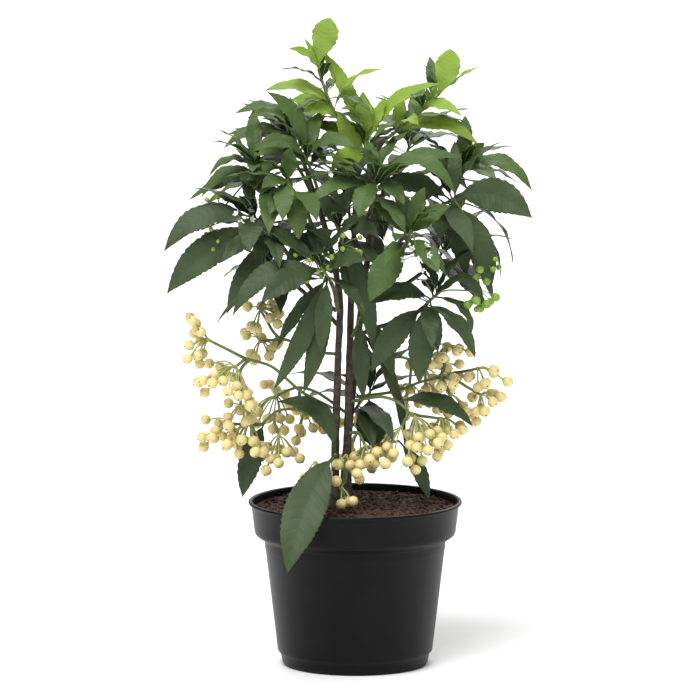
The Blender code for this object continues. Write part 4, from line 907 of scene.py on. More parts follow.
def first_growth(room, twigs, branches, grown, stalked):
    """The leaves and berries of the solids: those that the front view shows, then the rule's leaves."""
    chance = random.Random(SEED)
    leaves = {}
    for sprig in SPRIGS:
        path = twigs[sprig.name]
        shown = shown_leaves(sprig.leaves, path, sprig.age)
        leaves[sprig.name] = seat_leaves(shown + whorl_leaves(sprig.whorl, path, sprig.age, chance), path)
    for name, found in leaves.items():
        grow_leaves(room, name, found, grown, True)
    for truss in TRUSSES:
        path = branches[truss.name]
        grow_leaves(room, truss.name, seat_leaves(shown_leaves(truss.leaves, path, "old"), path), grown, True)
        for _, hub, *umbel in truss.umbels:
            grow_umbel(room, truss.name, mm(hub), *umbel, stalked, chance)
    for name, found in leaves.items():
        grow_leaves(room, name, found, grown, False)


def second_growth(room, twigs, grown, stalked):
    """More leaves inside each whorl, and more berries round each hub, where there is room."""
    chance = random.Random(SEED + 5)
    for sprig in SPRIGS:
        path = twigs[sprig.name]
        count, length, first_turn = sprig.whorl
        inner = (INNER_LEAVES if count else 0, length * INNER_LENGTH, first_turn + INNER_TURN)
        found = seat_leaves(whorl_leaves(inner, path, sprig.age, chance), path)
        grow_leaves(room, sprig.name, found, grown, False)
    for truss in TRUSSES:
        for _, hub, count, reach, aim, spread in truss.umbels:
            here = sum(foot == mm(hub) for foot, _ in stalked)
            for longer in SECOND_REACHES:
                wanted = round(count * FULLER) - here
                here += grow_umbel(room, truss.name, mm(hub), wanted, reach * longer, aim, spread, stalked,
                                   chance, SECOND_TRIES)


def green_of(owner, leaf):
    """A leaf's green: on young sprigs the rule's leaves, and all of left_crest, are of the middle green."""
    age = next((sprig.age for sprig in SPRIGS if sprig.name == owner), "old")
    return "mid" if age == "young" and (owner == "left_crest" or leaf.face == 0.0) else age


@functools.lru_cache(maxsize=1)
def plan():
    """The whole plant, first by the solids' own rule and seed: limbs, twigs, hubs, leaves and berries."""
    room = Room()
    stems, limbs = limb_plan(room)
    twigs, branches, stalks, hubs = twig_plan(room, stems)
    grown = {name: [] for name in (*twigs, *branches)}
    stalked = []
    first_growth(room, twigs, branches, grown, stalked)
    second_growth(room, twigs, grown, stalked)
    blades = [(green_of(name, leaf), leaf) for name, found in grown.items() for leaf in found]
    return {"limbs": limbs, "twigs": [*twigs.values(), *branches.values(), *stalks], "hubs": hubs,
            "blades": blades, "berries": stalked}


# Meshes.


def sweep(shape, path, radii, sides):
    """A closed tapering tube along a path: a capped circle, extruded from ring to ring."""
    def ring_place(index, side):
        """The matrix of one ring, and its side, carried along so that the tube doesn't twist."""
        before = path[max(index - 1, 0)]
        after = path[min(index + 1, len(path) - 1)]
        way = (after - before).normalized()
        side = (side - way * side.dot(way)).normalized()
        turn = Matrix((side, way.cross(side), way)).transposed().to_4x4()
        return Matrix.Translation(path[index]) @ turn @ Matrix.Scale(radii[index], 4), side

    here, side = ring_place(0, (path[1] - path[0]).orthogonal())
    ring = bmesh.ops.create_circle(shape, cap_ends=True, segments=sides, radius=1.0, matrix=here)["verts"]
    edges = list({edge for vert in ring for edge in vert.link_edges if edge.other_vert(vert) in ring})
    for index in range(1, len(path)):
        there, side = ring_place(index, side)
        made = bmesh.ops.extrude_edge_only(shape, edges=edges)["geom"]
        ring = [item for item in made if isinstance(item, bmesh.types.BMVert)]
        edges = [item for item in made if isinstance(item, bmesh.types.BMEdge)
                 and item.verts[0] in ring and item.verts[1] in ring]
        bmesh.ops.transform(shape, matrix=there @ here.inverted(), verts=ring)
        here = there
    bmesh.ops.contextual_create(shape, geom=edges)


def finer(path, radii, pieces):
    """The same middle line with more steps, and its radii between."""
    line = smooth_path(path, pieces)
    last = len(radii) - 1
    wide = []
    for index in range(len(line)):
        place = min(last, index / pieces)
        low = min(last - 1, int(place))
        wide.append(radii[low] + (radii[low + 1] - radii[low]) * (place - low))
    return line, wide


def made_object(name, shape, materials):
    """A smooth piece at the origin from a bmesh, its faces turned outwards, with its materials."""
    bmesh.ops.recalc_face_normals(shape, faces=shape.faces)
    return plain_object(name, shape, materials)


def plain_object(name, shape, materials):
    """A smooth piece at the origin from a bmesh, its faces left as they point, with its materials."""
    mesh = bpy.data.meshes.new(name)
    shape.to_mesh(mesh)
    shape.free()
    mesh.shade_smooth()
    made = bpy.data.objects.new(name, mesh)
    bpy.context.scene.collection.objects.link(made)
    for item in materials:
        mesh.materials.append(item)
    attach(made, "root")
    return made


def scallop(share, teeth):
    """How far the blade's edge stands in from its outline: small rounded teeth."""
    along = (share * teeth) % 1.0
    return 1.0 - EDGE_TOOTH_DEPTH * (1 - math.sin(math.pi * along)) if share > PETIOLE_SHARE else 1.0


def add_blade(shape, uv_layer, leaf, chance):
    """One leaf: a grid laid along its curve, folded along its midrib, with a scalloped wavy edge."""
    columns = len(BLADE_COLUMNS) - 1
    shares = [index / BLADE_RINGS for index in range(BLADE_RINGS + 1)]
    rings = leaf_rings(*leaf, shares)
    grid = bmesh.ops.create_grid(shape, x_segments=BLADE_RINGS, y_segments=columns, size=1.0)["verts"]
    seats = {}
    for vert in grid:
        seats[vert] = (round((vert.co.x + 1) / 2 * BLADE_RINGS), round((vert.co.y + 1) / 2 * columns))
    phase = chance.uniform(0, 2 * math.pi)
    fold = BLADE_FOLD * chance.uniform(*FOLD_SPREAD)
    teeth = max(LEAST_TEETH, round(leaf.reach.length / MM / TOOTH_PITCH))
    for vert, (ring, column) in seats.items():
        middle, side, normal, half = rings[ring]
        share = shares[ring]
        across = BLADE_COLUMNS[column]
        half = max(half, (TIP_HALF_WIDTH if share > 0.5 else PETIOLE_HALF_WIDTH) * MM)
        reach = half * (scallop(share, teeth) if abs(across) > SCALLOPED_FROM else 1.0)
        wave = (math.sin(share * EDGE_HALF_WAVES * math.pi + phase + across) * EDGE_WAVE * MM
                * across * across * half / leaf.width)
        lift = fold * half * abs(across) - BLADE_DISH * half * across * across + wave * 2
        vert.co = middle + side * (across * reach) + normal * lift
    faces = {face for vert in grid for face in vert.link_faces}
    for face in faces:
        mean = sum(seats[vert][1] for vert in face.verts) / 4
        across = (BLADE_COLUMNS[int(mean)] + BLADE_COLUMNS[int(mean) + 1]) / 2
        # Faces along the edge take the margin look, a painted highlight.
        face.material_index = 1 if abs(across) < MIDRIB_TO else 2 if abs(across) > PAINTED_EDGE_HIGHLIGHT_FROM else 0
        for loop in face.loops:
            ring, column = seats[loop.vert]
            loop[uv_layer].uv = (shares[ring], BLADE_COLUMNS[column] / 2 + 0.5)


# Materials.


def feed(node, **values):
    """Sets or links a node's sockets by name, and gives the node back."""
    for name, value in values.items():
        socket = node.inputs[name.replace("_", " ")]
        if isinstance(value, bpy.types.NodeSocket):
            node.id_data.links.new(value, socket)
        else:
            socket.default_value = value
    return node


def principled(name, colour, roughness, coat=0.0):
    """A Principled material of one colour."""
    made = bpy.data.materials.new(name)
    made.use_nodes = True
    feed(made.node_tree.nodes["Principled BSDF"], Base_Color=(*colour[:3], 1.0), Roughness=roughness,
         Coat_Weight=coat, Specular_IOR_Level=PLAIN_SPECULAR)
    return made


def mottle_group():
    """Two colours mixed in soft patches of object space."""
    group = bpy.data.node_groups.get("Mottle")
    if group:
        return group
    group = bpy.data.node_groups.new("Mottle", "ShaderNodeTree")
    for name, way, kind in (("First", "INPUT", "Color"), ("Second", "INPUT", "Color"),
                            ("Scale", "INPUT", "Float"), ("Color", "OUTPUT", "Color")):
        group.interface.new_socket(name, in_out=way, socket_type="NodeSocket" + kind)
    nodes = group.nodes
    enter = nodes.new("NodeGroupInput")
    place = nodes.new("ShaderNodeTexCoord")
    cloud = feed(nodes.new("ShaderNodeTexNoise"), Vector=place.outputs["Object"],
                 Scale=enter.outputs["Scale"], Detail=3.0)
    patch = feed(nodes.new("ShaderNodeMapRange"), Value=cloud.outputs["Fac"], From_Min=0.35, From_Max=0.65)
    mix = nodes.new("ShaderNodeMix")
    mix.data_type = "RGBA"
    feed(mix, Factor=patch.outputs["Result"], A=enter.outputs["First"], B=enter.outputs["Second"])
    feed(nodes.new("NodeGroupOutput"), Color=mix.outputs["Result"])
    return group


def vein_group():
    """The height of a leaf's side veins, slanting forward from the midrib, in the leaf's own UV map."""
    group = bpy.data.node_groups.get("Veins")
    if group:
        return group
    group = bpy.data.node_groups.new("Veins", "ShaderNodeTree")
    group.interface.new_socket("Height", in_out="OUTPUT", socket_type="NodeSocketFloat")
    nodes = group.nodes

    def worked(operation, *values):
        """The output of a Math node on sockets or numbers."""
        node = nodes.new("ShaderNodeMath")
        node.operation = operation
        for socket, value in zip(node.inputs, values):
            if isinstance(value, (int, float)):
                socket.default_value = value
            else:
                group.links.new(value, socket)
        return node.outputs[0]

    place = nodes.new("ShaderNodeUVMap")
    place.uv_map = "leaf"
    split = feed(nodes.new("ShaderNodeSeparateXYZ"), Vector=place.outputs["UV"])
    across = worked("ABSOLUTE", worked("SUBTRACT", split.outputs["Y"], 0.5))
    slant = worked("SUBTRACT", worked("MULTIPLY", split.outputs["X"], VEIN_COUNT * 2 * math.pi),
                   worked("MULTIPLY", across, VEIN_SLANT))
    ripple = worked("ABSOLUTE", worked("SINE", worked("MULTIPLY", slant, 0.5)))
    feed(nodes.new("NodeGroupOutput"), Height=worked("POWER", ripple, VEIN_SHARPNESS))
    return group


def placed_group(nodes, group):
    """A group's node in a material."""
    node = nodes.new("ShaderNodeGroup")
    node.node_tree = group
    return node


def mottled(name, first, second, scale, roughness, coat=0.0, veins=0.0, grain=0.0):
    """A Principled material of two mixed colours, with side veins or a fine grain as relief."""
    made = principled(name, first, roughness, coat)
    nodes = made.node_tree.nodes
    shader = nodes["Principled BSDF"]
    patches = feed(placed_group(nodes, mottle_group()), First=(*first[:3], 1.0), Second=(*second[:3], 1.0),
                   Scale=scale)
    feed(shader, Base_Color=patches.outputs["Color"])
    if veins:
        height = placed_group(nodes, vein_group()).outputs["Height"]
    elif grain:
        place = nodes.new("ShaderNodeTexCoord")
        height = feed(nodes.new("ShaderNodeTexNoise"), Vector=place.outputs["Object"], Scale=GRAIN_SCALE,
                      Detail=4.0).outputs["Fac"]
    if veins or grain:
        bump = feed(nodes.new("ShaderNodeBump"), Height=height, Distance=(veins or grain) * MM,
                    Strength=RELIEF_STRENGTH)
        feed(shader, Normal=bump.outputs["Normal"])
    return made


# The add-on's properties, operators and panel.


class ArdisiaLooks(bpy.types.PropertyGroup):
    """Sizes and colours of the finished plant."""

    blade_thickness: bpy.props.FloatProperty(
        name="Leaf thickness", description="How thick a leaf blade is", default=0.00045, min=0.0001,
        max=0.002, precision=5, unit="LENGTH")
    crumb_size: bpy.props.FloatProperty(
        name="Crumb size", description="Largest radius of a crumb of peat", default=0.0016, min=0.0005,
        max=0.005, precision=4, unit="LENGTH")
    young_green: bpy.props.FloatVectorProperty(
        name="Young leaf", description="Colour of the newest leaves", subtype="COLOR", size=3,
        default=(0.24, 0.40, 0.008), min=0.0, max=1.0)
    mid_green: bpy.props.FloatVectorProperty(
        name="Grown leaf", description="Colour of this year's leaves", subtype="COLOR", size=3,
        default=(0.022, 0.058, 0.006), min=0.0, max=1.0)
    old_green: bpy.props.FloatVectorProperty(
        name="Old leaf", description="Colour of last year's leaves", subtype="COLOR", size=3,
        default=(0.0055, 0.0145, 0.004), min=0.0, max=1.0)
    berry_cream: bpy.props.FloatVectorProperty(
        name="Berry", description="Colour of the ripe berries", subtype="COLOR", size=3,
        default=(0.76, 0.66, 0.29), min=0.0, max=1.0)
    pot_black: bpy.props.FloatVectorProperty(
        name="Pot", description="Colour of the pot", subtype="COLOR", size=3,
        default=(0.0028, 0.0028, 0.0032), min=0.0, max=1.0)


def shaded(colour, share):
    """A colour made darker or lighter by a factor."""
    return tuple(min(1.0, value * share) for value in colour)


def spun(outline, steps):
    """A closed shape turned about Z from an outline that starts and ends on the axis."""
    shape = bmesh.new()
    corners = [shape.verts.new((radius * MM, 0, height * MM)) for radius, height in outline]
    edges = [shape.edges.new(pair) for pair in zip(corners, corners[1:])]
    bmesh.ops.spin(shape, geom=corners + edges, axis=(0, 0, 1), cent=(0, 0, 0), angle=2 * math.pi,
                   steps=steps, use_merge=True)
    bmesh.ops.remove_doubles(shape, verts=shape.verts, dist=0.005 * MM)
    return shape


def apply_modifiers(made):
    """Bakes an object's modifiers into its mesh."""
    graph = bpy.context.evaluated_depsgraph_get()
    mesh = bpy.data.meshes.new_from_object(made.evaluated_get(graph))
    made.modifiers.clear()
    made.data = mesh


def facing(place, way):
    """The matrix of a place whose Z runs along a direction."""
    return Matrix.Translation(place) @ way.to_track_quat("Z", "Y").to_matrix().to_4x4()


def pot_outline():
    """The pot's section: from its pad to the foot ring, up the wall, over the lip and down to its floor."""
    collar_foot = RIM_HEIGHT - COLLAR_DROP
    body_top = collar_foot - COLLAR_SLOPE
    ring_inside = FOOT_RADIUS - FOOT_RING_WIDTH
    return (
        (0, 0), (PAD_RADIUS, 0), (PAD_RADIUS + 0.8, 0.8), (PAD_RADIUS + 1.2, FLOOR_UNDERSIDE),
        (ring_inside - 0.6, FLOOR_UNDERSIDE), (ring_inside, 0.3), (ring_inside + 0.3, 0),
        (FOOT_RADIUS - 0.3, 0), (FOOT_RADIUS, 0.3),
        (FOOT_RADIUS + 1.0, 1.8), (FOOT_RADIUS + 1.7, 5.4), (FOOT_RADIUS + 2.2, 7.4),
        (BODY_FOOT_RADIUS - 0.4, 9.0), (BODY_FOOT_RADIUS, 9.8), (BODY_FOOT_RADIUS + 0.2, 11.4),
        (BODY_TOP_RADIUS - 0.3, body_top - 5.2), (BODY_TOP_RADIUS + 0.1, body_top - 4.6),
        (BODY_TOP_RADIUS, body_top - 0.6), (BODY_TOP_RADIUS + 0.8, body_top + 0.5),
        (COLLAR_FOOT_RADIUS - 2.0, collar_foot - 3.0), (COLLAR_FOOT_RADIUS - 0.7, collar_foot - 1.9),
        (COLLAR_FOOT_RADIUS, collar_foot - 0.2), (COLLAR_FOOT_RADIUS + 0.2, collar_foot + 1.4),
        (RIM_RADIUS - 1.9, RIM_HEIGHT - 2.9), (RIM_RADIUS - 1.5, RIM_HEIGHT - 2.3),
        (RIM_RADIUS - 0.3, RIM_HEIGHT - 1.9), (RIM_RADIUS, RIM_HEIGHT - 1.3),
        (RIM_RADIUS - 0.1, RIM_HEIGHT - 0.4), (RIM_RADIUS - 0.6, RIM_HEIGHT),
        (RIM_RADIUS - 2.2, RIM_HEIGHT), (RIM_RADIUS - 2.8, RIM_HEIGHT - 0.6),
        (RIM_RADIUS - 3.1, RIM_HEIGHT - 2.4), (COLLAR_FOOT_RADIUS - WALL, collar_foot + 0.6),
        (BODY_TOP_RADIUS - WALL, body_top + 1.2), (BODY_FOOT_RADIUS - WALL, FLOOR_TOP + 3.4),
        (BODY_FOOT_RADIUS - 3.4, FLOOR_TOP), (0, FLOOR_TOP))


def notch_cutter():
    """The blocks that cut the foot's notches, each flared towards the ground."""
    shape = bmesh.new()
    for index in range(NOTCH_COUNT):
        before = set(shape.verts)
        made = bmesh.ops.create_cube(shape, size=1.0)["verts"]
        edges = {edge for vert in made for edge in vert.link_edges}
        upright = [edge for edge in edges if abs(edge.verts[0].co.z - edge.verts[1].co.z) > 0.5]
        bmesh.ops.subdivide_edges(shape, edges=upright, cuts=NOTCH_CUTS, use_grid_fill=True)
        turn = Matrix.Rotation(2 * math.pi * index / NOTCH_COUNT, 3, "Z")
        for vert in set(shape.verts) - before:
            share = vert.co.z + 0.5
            flare = (NOTCH_FOOT_WIDTH - NOTCH_TOP_WIDTH) * (1 - share) ** 2
            vert.co = turn @ mm((vert.co.x * (NOTCH_TOP_WIDTH + flare), FOOT_RADIUS + vert.co.y * NOTCH_DEPTH,
                                 -1.0 + share * (FLOOR_UNDERSIDE + 0.6)))
    bmesh.ops.recalc_face_normals(shape, faces=shape.faces)
    mesh = bpy.data.meshes.new("notches")
    shape.to_mesh(mesh)
    shape.free()
    return bpy.data.objects.new("notches", mesh)


class OBJECT_OT_ardisia_pot(bpy.types.Operator):
    """Make the black nursery pot with its collar, lip and notched foot"""

    bl_idname = "object.ardisia_pot"
    bl_label = "Ardisia pot"
    bl_options = {"REGISTER", "UNDO"}

    def execute(self, context):
        black = context.scene.ardisia.pot_black
        plastic = mottled("black plastic", black, shaded(black, 1.5), 60.0, 0.40, grain=0.02)
        feed(plastic.node_tree.nodes["Principled BSDF"], Specular_IOR_Level=POT_SPECULAR)
        pot = made_object("pot_shell", spun(pot_outline(), POT_STEPS), [plastic])
        pot.data.set_sharp_from_angle(angle=math.radians(SHARP_ANGLE))
        notches = notch_cutter()
        context.scene.collection.objects.link(notches)
        cut = pot.modifiers.new("notches", "BOOLEAN")
        cut.operation = "DIFFERENCE"
        cut.object = notches
        cut.solver = "EXACT"
        apply_modifiers(pot)
        bpy.data.objects.remove(notches)
        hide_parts("pot")
        return {"FINISHED"}


def soil_level(radius):
    """The height of the peat's top at a distance from the axis, both in millimetres."""
    rise = min(1.0, (RIM_RADIUS - radius) / (RIM_RADIUS - SOIL_FLAT_RADIUS))
    return SOIL_EDGE_HEIGHT + (SOIL_TOP_HEIGHT - SOIL_EDGE_HEIGHT) * rise


def soil_outline():
    """The peat's section: along the pot's floor and wall, then over its heaped top in fine steps."""
    foot = FLOOR_TOP + GAP / MM
    shoulder = RIM_HEIGHT - COLLAR_DROP
    outline = [
        (0, foot), (BODY_FOOT_RADIUS - 4.0, foot), (BODY_FOOT_RADIUS - WALL - 0.4, FLOOR_TOP + 4.0),
        (BODY_TOP_RADIUS - WALL - 0.5, shoulder - 4.6), (COLLAR_FOOT_RADIUS - WALL - 0.6, shoulder + 0.9),
        (SOIL_EDGE_RADIUS, SOIL_EDGE_HEIGHT)]
    for step in range(1, SOIL_RINGS):
        radius = SOIL_EDGE_RADIUS * (1 - step / SOIL_RINGS)
        outline.append((radius, soil_level(radius)))
    return outline + [(0, SOIL_TOP_HEIGHT)]


def crumbled(largest):
    """Loose crumbs strewn over the peat, up to a largest radius."""
    chance = random.Random(SEED + 1)
    shape = bmesh.new()
    for _ in range(CRUMB_COUNT):
        radius = CRUMBS_RADIUS * math.sqrt(chance.random())
        turn = chance.uniform(0, 2 * math.pi)
        size = largest * chance.uniform(*CRUMB_SIZES) ** 1.5
        seat = Matrix.Translation((radius * MM * math.cos(turn), radius * MM * math.sin(turn),
                                   soil_level(radius) * MM + size * CRUMB_SINK))
        squash = Matrix.Diagonal((*[chance.uniform(*span) for span in CRUMB_SQUASH], 1))
        spin = (Matrix.Rotation(chance.uniform(0, 6.28), 4, "Z")
                @ Matrix.Rotation(chance.uniform(-CRUMB_TIP, CRUMB_TIP), 4, "X"))
        bmesh.ops.create_icosphere(shape, subdivisions=1, radius=size, matrix=seat @ spin @ squash)
    return shape


class OBJECT_OT_ardisia_soil(bpy.types.Operator):
    """Make the peat with its loose crumbs"""

    bl_idname = "object.ardisia_soil"
    bl_label = "Ardisia soil"
    bl_options = {"REGISTER", "UNDO"}

    def execute(self, context):
        shape = spun(soil_outline(), SOIL_STEPS)
        for vert in shape.verts:
            radius = vert.co.xy.length / MM
            if vert.co.z > (SOIL_EDGE_HEIGHT - 0.5) * MM and radius < LUMPS_RADIUS:
                vert.co.z += sum(noise.noise(vert.co * fine) * high * MM for fine, high in SOIL_LUMPS)
        soil = made_object("soil_bed", shape, [
            mottled("peat", (0.030, 0.013, 0.009), (0.075, 0.036, 0.024), 300.0, 0.95, grain=0.5)])
        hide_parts("soil")
        crumbs = made_object("soil_crumbs", crumbled(context.scene.ardisia.crumb_size), [
            mottled("peat crumbs", (0.022, 0.010, 0.008), (0.11, 0.055, 0.036), 500.0, 0.95)])
        return {"FINISHED"}


def relief(place, across, along):
    """Noise at a place, of one fineness across a limb and another along it."""
    return noise.noise(Vector((place.x * across, place.y * across, place.z * along)))


def roughen(shape, depth):
    """Gives limbs the relief of bark: fine ridges that run up them, and slow knots."""
    bmesh.ops.recalc_face_normals(shape, faces=shape.faces)
    shape.normal_update()
    for vert in shape.verts:
        place = vert.co.copy()
        ridge = relief(place, *BARK_RIDGES)
        knot = relief(place, *BARK_KNOTS)
        vert.co += vert.normal * (ridge * depth + knot * depth) * MM


class OBJECT_OT_ardisia_limbs(bpy.types.Operator):
    """Make the three barked stems and their boughs"""

    bl_idname = "object.ardisia_limbs"
    bl_label = "Ardisia stems and boughs"
    bl_options = {"REGISTER", "UNDO"}

    def execute(self, context):
        bark = mottled("bark", (0.045, 0.036, 0.030), (0.115, 0.095, 0.075), 260.0, 0.8, grain=0.35)
        shoot = mottled("young bark", (0.060, 0.075, 0.028), (0.12, 0.12, 0.05), 200.0, 0.55, grain=0.1)
        for kind, slot, look, fineness in (("stem", "bark", bark, STEM_FINENESS),
                                           ("bough", "young_bark", shoot, BOUGH_FINENESS)):
            sides, pieces, depth = fineness
            limbs = {node: line for node, line in plan()["limbs"].items() if node.startswith(kind)}
            shape = bmesh.new()
            for path, radii in limbs.values():
                line, wide = finer(path, radii, pieces)
                if kind == "stem":
                    line = [line[0] - UP * GAP * 2] + line
                    wide = [wide[0]] + wide
                sweep(shape, line, wide, sides)
            roughen(shape, depth)
            limb = made_object(kind + "_bark", shape, [look])
            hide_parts(*limbs)
        return {"FINISHED"}


def leaf_materials(age, blade):
    """The four looks of an age of leaf: its blade, its midrib, its margin (a painted highlight along the
    edge) and its underside.
    """
    patch, rib, under, gloss = LEAF_LOOKS[age]
    return [
        mottled(age + " leaf", blade, patch, LEAF_PATCHES, gloss, coat=BLADE_COAT,
                veins=BLADE_VEINS),
        principled(age + " midrib", rib, MIDRIB_ROUGHNESS),
        # The margin: the midrib's colour made darker, a painted highlight along the leaf's edge and rim.
        principled(age + " margin", shaded(rib, 0.75), MIDRIB_ROUGHNESS),
        mottled(age + " underside", under, shaded(under, 0.8), LEAF_PATCHES, UNDERSIDE_ROUGHNESS,
                veins=UNDERSIDE_VEINS)]


class OBJECT_OT_ardisia_leaves(bpy.types.Operator):
    """Make the twigs and every leaf of the crown"""

    bl_idname = "object.ardisia_leaves"
    bl_label = "Ardisia twigs and leaves"
    bl_options = {"REGISTER", "UNDO"}

    def execute(self, context):
        looks = context.scene.ardisia
        for age in LEAF_LOOKS:
            shape = bmesh.new()
            uv_layer = shape.loops.layers.uv.new("leaf")
            chance = random.Random(SEED + 2)
            for green, leaf in plan()["blades"]:
                if green == age:
                    add_blade(shape, uv_layer, leaf, chance)
            made = plain_object("leaf_blades_" + age, shape,
                                leaf_materials(age, getattr(looks, age + "_green")))
            skin = made.modifiers.new("thickness", "SOLIDIFY")
            skin.thickness = looks.blade_thickness
            skin.offset = -1.0
            skin.material_offset = 3
            # The blade's rim takes the margin look too, a painted highlight along the edge.
            skin.material_offset_rim = 2
            apply_modifiers(made)
            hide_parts(*["leaves_" + sprig.name for sprig in SPRIGS if sprig.age == age])
        shape = bmesh.new()
        for path in plan()["twigs"]:
            sweep(shape, *finer(path, tapered(TWIG_RADIUS, TWIG_TIP_RADIUS, path, TWIG_SHARE), 3), 8)
        twigs = made_object("twigs", shape, [
            mottled("green twig", (0.10, 0.16, 0.04), (0.17, 0.22, 0.07), 150.0, 0.5, grain=0.08)])
        return {"FINISHED"}


def add_berry(parts, hub, centre, size):
    """One berry with its dark tip, its calyx and the stalk that sags from its hub."""
    way = (centre - hub).normalized()
    seat = facing(centre, way)
    bmesh.ops.create_icosphere(parts["berries"], subdivisions=3, radius=size,
                               matrix=seat @ Matrix.Diagonal((1, 1, BERRY_SQUASH, 1)))
    bmesh.ops.create_uvsphere(parts["berry_tips"], u_segments=8, v_segments=5, radius=BERRY_TIP_RADIUS * MM,
                              matrix=seat @ Matrix.Translation((0, 0, size * BERRY_TIP_SEAT)))
    bmesh.ops.create_cone(parts["berry_stalks"], cap_ends=True, segments=10, radius1=CALYX_RADII[0] * MM,
                          radius2=CALYX_RADII[1] * MM, depth=CALYX_DEPTH * MM,
                          matrix=seat @ Matrix.Translation((0, 0, -size * CALYX_SEAT)))
    sag = UP * (centre - hub).length * STALK_SAG
    foot = centre - way * size * 0.9
    path = smooth_path([hub, hub.lerp(foot, 0.35) + sag, hub.lerp(foot, 0.7) + sag * 0.8, foot], 3)
    last = len(path) - 1
    radii = [(STALK_RADIUS + STALK_GROWTH * index / last) * MM for index in range(len(path))]
    sweep(parts["berry_stalks"], path, radii, 6)


class OBJECT_OT_ardisia_berries(bpy.types.Operator):
    """Make the umbels of cream berries on their stalks"""

    bl_idname = "object.ardisia_berries"
    bl_label = "Ardisia berries"
    bl_options = {"REGISTER", "UNDO"}

    def execute(self, context):
        cream = context.scene.ardisia.berry_cream
        chance = random.Random(SEED + 3)
        looks = {
            "berries": mottled("berry", cream, (cream[0], cream[1] * 0.93, cream[2] * 0.95), 120.0, 0.30,
                               coat=0.2),
            "berry_stalks": mottled("berry stalk", (0.34, 0.38, 0.12), (0.44, 0.42, 0.17), 120.0, 0.5),
            "berry_tips": principled("berry tip", (0.07, 0.035, 0.02), 0.6)}
        parts = {name: bmesh.new() for name in looks}
        for hub, centre in plan()["berries"]:
            add_berry(parts, hub, centre, BERRY_RADIUS * MM * chance.uniform(*BERRY_SIZES))
        for hub in plan()["hubs"]:
            bmesh.ops.create_icosphere(parts["berry_stalks"], subdivisions=2, radius=KNOB_RADIUS * MM,
                                       matrix=Matrix.Translation(hub))
        for name, shape in parts.items():
            made = made_object(name, shape, [looks[name]])
            if name == "berry_stalks":
                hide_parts(*[truss.name for truss in TRUSSES])
        return {"FINISHED"}


def add_flower(parts, seat, size):
    """One small open flower: five flat petals round a green middle."""
    for petal in range(PETAL_COUNT):
        lie = (Matrix.Rotation(2 * math.pi * petal / PETAL_COUNT, 4, "Z")
               @ Matrix.Rotation(-PETAL_RISE, 4, "Y"))
        flat = Matrix.Translation((size * 0.55 * MM, 0, 0.3 * MM)) @ Matrix.Diagonal((1, 0.5, 0.16, 1))
        bmesh.ops.create_icosphere(parts["flowers"], subdivisions=2, radius=size * 0.6 * MM,
                                   matrix=seat @ lie @ flat)
    bmesh.ops.create_icosphere(parts["green_berries"], subdivisions=2, radius=size * 0.25 * MM,
                               matrix=seat @ Matrix.Translation((0, 0, 0.5 * MM)))


class OBJECT_OT_ardisia_buds(bpy.types.Operator):
    """Make the young green berries and the small white flowers among the leaves"""

    bl_idname = "object.ardisia_buds"
    bl_label = "Ardisia green berries and flowers"
    bl_options = {"REGISTER", "UNDO"}

    def execute(self, context):
        chance = random.Random(SEED + 4)
        looks = {
            "green_berries": mottled("green berry", (0.17, 0.30, 0.03), (0.28, 0.40, 0.06), 200.0, 0.35),
            "green_stalks": principled("green stalk", (0.16, 0.25, 0.05), 0.5),
            "flowers": principled("petal", (0.86, 0.84, 0.80), 0.6)}
        parts = {name: bmesh.new() for name in looks}
        twigs = {sprig.name: path for sprig, path in zip(SPRIGS, plan()["twigs"])}
        for kind, sprig, share, place, count, reach, aim, spread, size in GREEN_UMBELS:
            hub = mm(place)
            start, way = place_on(twigs[sprig], share)
            branch = bezier(start, (way + UP * 0.2).normalized(), hub, (hub - start).normalized(), 5)
            sweep(parts["green_stalks"], branch, [GREEN_BRANCH_RADIUS * MM] * len(branch), 6)
            for index in range(count):
                lean = math.radians(spread) * math.sqrt((index + GREEN_FIRST_LEAN) / count)
                out = spray(Vector(aim).normalized(), lean, index * GOLDEN_TURN)
                centre = hub + out * reach * MM * chance.uniform(*GREEN_REACHES)
                bow = hub.lerp(centre, 0.5) + UP * reach * GREEN_BOW * MM
                path = smooth_path([hub, bow, centre], 2)
                sweep(parts["green_stalks"], path, [GREEN_STALK_RADIUS * MM] * len(path), 5)
                seat = facing(centre, out)
                if kind == "berry":
                    bmesh.ops.create_icosphere(parts["green_berries"], subdivisions=2, matrix=seat,
                                               radius=size * MM * chance.uniform(*GREEN_SIZES))
                else:
                    add_flower(parts, seat, size)
        for name, shape in parts.items():
            made_object(name, shape, [looks[name]])
        return {"FINISHED"}


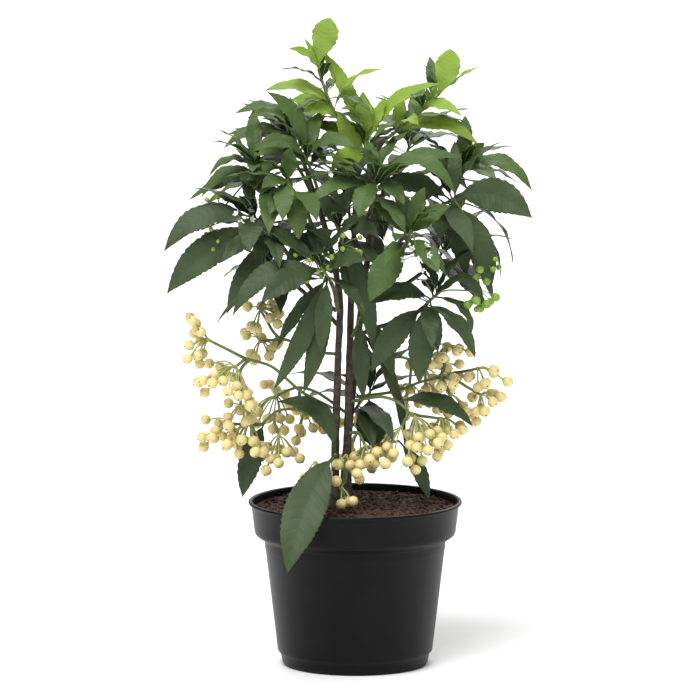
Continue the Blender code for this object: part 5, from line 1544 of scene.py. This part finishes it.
class OBJECT_OT_ardisia_stage(bpy.types.Operator):
    """Set the pale floor, the soft studio lights and the camera"""

    bl_idname = "object.ardisia_stage"
    bl_label = "Ardisia stage"
    bl_options = {"REGISTER", "UNDO"}

    def execute(self, context):
        scene = context.scene
        shape = bmesh.new()
        bmesh.ops.create_grid(shape, x_segments=1, y_segments=1, size=12.0)
        mesh = bpy.data.meshes.new("floor")
        shape.to_mesh(mesh)
        shape.free()
        floor = bpy.data.objects.new("floor", mesh)
        floor.data.materials.append(principled("pale floor", (0.92, 0.92, 0.92), 0.9))
        scene.collection.objects.link(floor)
        world = bpy.data.worlds.new("studio")
        world.use_nodes = True
        nodes = world.node_tree.nodes
        seen = nodes.new("ShaderNodeLightPath")
        strength = feed(nodes.new("ShaderNodeMapRange"), Value=seen.outputs["Is Camera Ray"],
                        To_Min=WORLD_LIGHT, To_Max=BACKDROP_LIGHT)
        feed(nodes["Background"], Color=(1, 1, 1, 1), Strength=strength.outputs["Result"])
        scene.world = world
        for name, place, spread, power in STUDIO_LIGHTS:
            light = bpy.data.lights.new(name, "SUN")
            light.angle = math.radians(spread)
            light.energy = power
            lamp = bpy.data.objects.new(name, light)
            lamp.location = place
            lamp.rotation_euler = (-lamp.location).to_track_quat("-Z", "Y").to_euler()
            scene.collection.objects.link(lamp)
        camera = bpy.data.cameras.new("camera")
        camera.sensor_width = SENSOR_WIDTH
        camera.lens = CAMERA_DISTANCE * SENSOR_WIDTH / PHOTO_WIDTH_MM
        camera.clip_end = 60.0
        eye = bpy.data.objects.new("camera", camera)
        tilt = math.radians(CAMERA_TILT)
        way = Vector((0, math.cos(tilt), -math.sin(tilt)))
        eye.location = mm(CAMERA_AIM) - way * CAMERA_DISTANCE * MM
        eye.rotation_euler = way.to_track_quat("-Z", "Y").to_euler()
        scene.collection.objects.link(eye)
        scene.camera = eye
        scene.view_settings.view_transform = "Standard"
        return {"FINISHED"}


class VIEW3D_PT_ardisia(bpy.types.Panel):
    """Buttons for each group of pieces"""

    bl_idname = "VIEW3D_PT_ardisia"
    bl_label = "Potted coral ardisia"
    bl_space_type = "VIEW_3D"
    bl_region_type = "UI"
    bl_category = "Ardisia"

    def draw(self, context):
        looks = context.scene.ardisia
        for name in looks.__annotations__:
            self.layout.prop(looks, name)
        for operator in OPERATORS:
            self.layout.operator(operator.bl_idname)


OPERATORS = (OBJECT_OT_ardisia_pot, OBJECT_OT_ardisia_soil, OBJECT_OT_ardisia_limbs, OBJECT_OT_ardisia_leaves,
             OBJECT_OT_ardisia_berries, OBJECT_OT_ardisia_buds, OBJECT_OT_ardisia_stage)
CLASSES = (ArdisiaLooks, *OPERATORS, VIEW3D_PT_ardisia)


def register():
    """Registers the classes and gives the scene its settings."""
    for item in CLASSES:
        bpy.utils.register_class(item)
    bpy.types.Scene.ardisia = bpy.props.PointerProperty(type=ArdisiaLooks)


def unregister():
    """Undoes register."""
    del bpy.types.Scene.ardisia
    for item in reversed(CLASSES):
        bpy.utils.unregister_class(item)


def main():
    """Makes every piece in order."""
    register()
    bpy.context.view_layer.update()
    for operator in OPERATORS:
        family, name = operator.bl_idname.split(".")
        getattr(getattr(bpy.ops, family), name)()


if __name__ == "__main__":
    main()
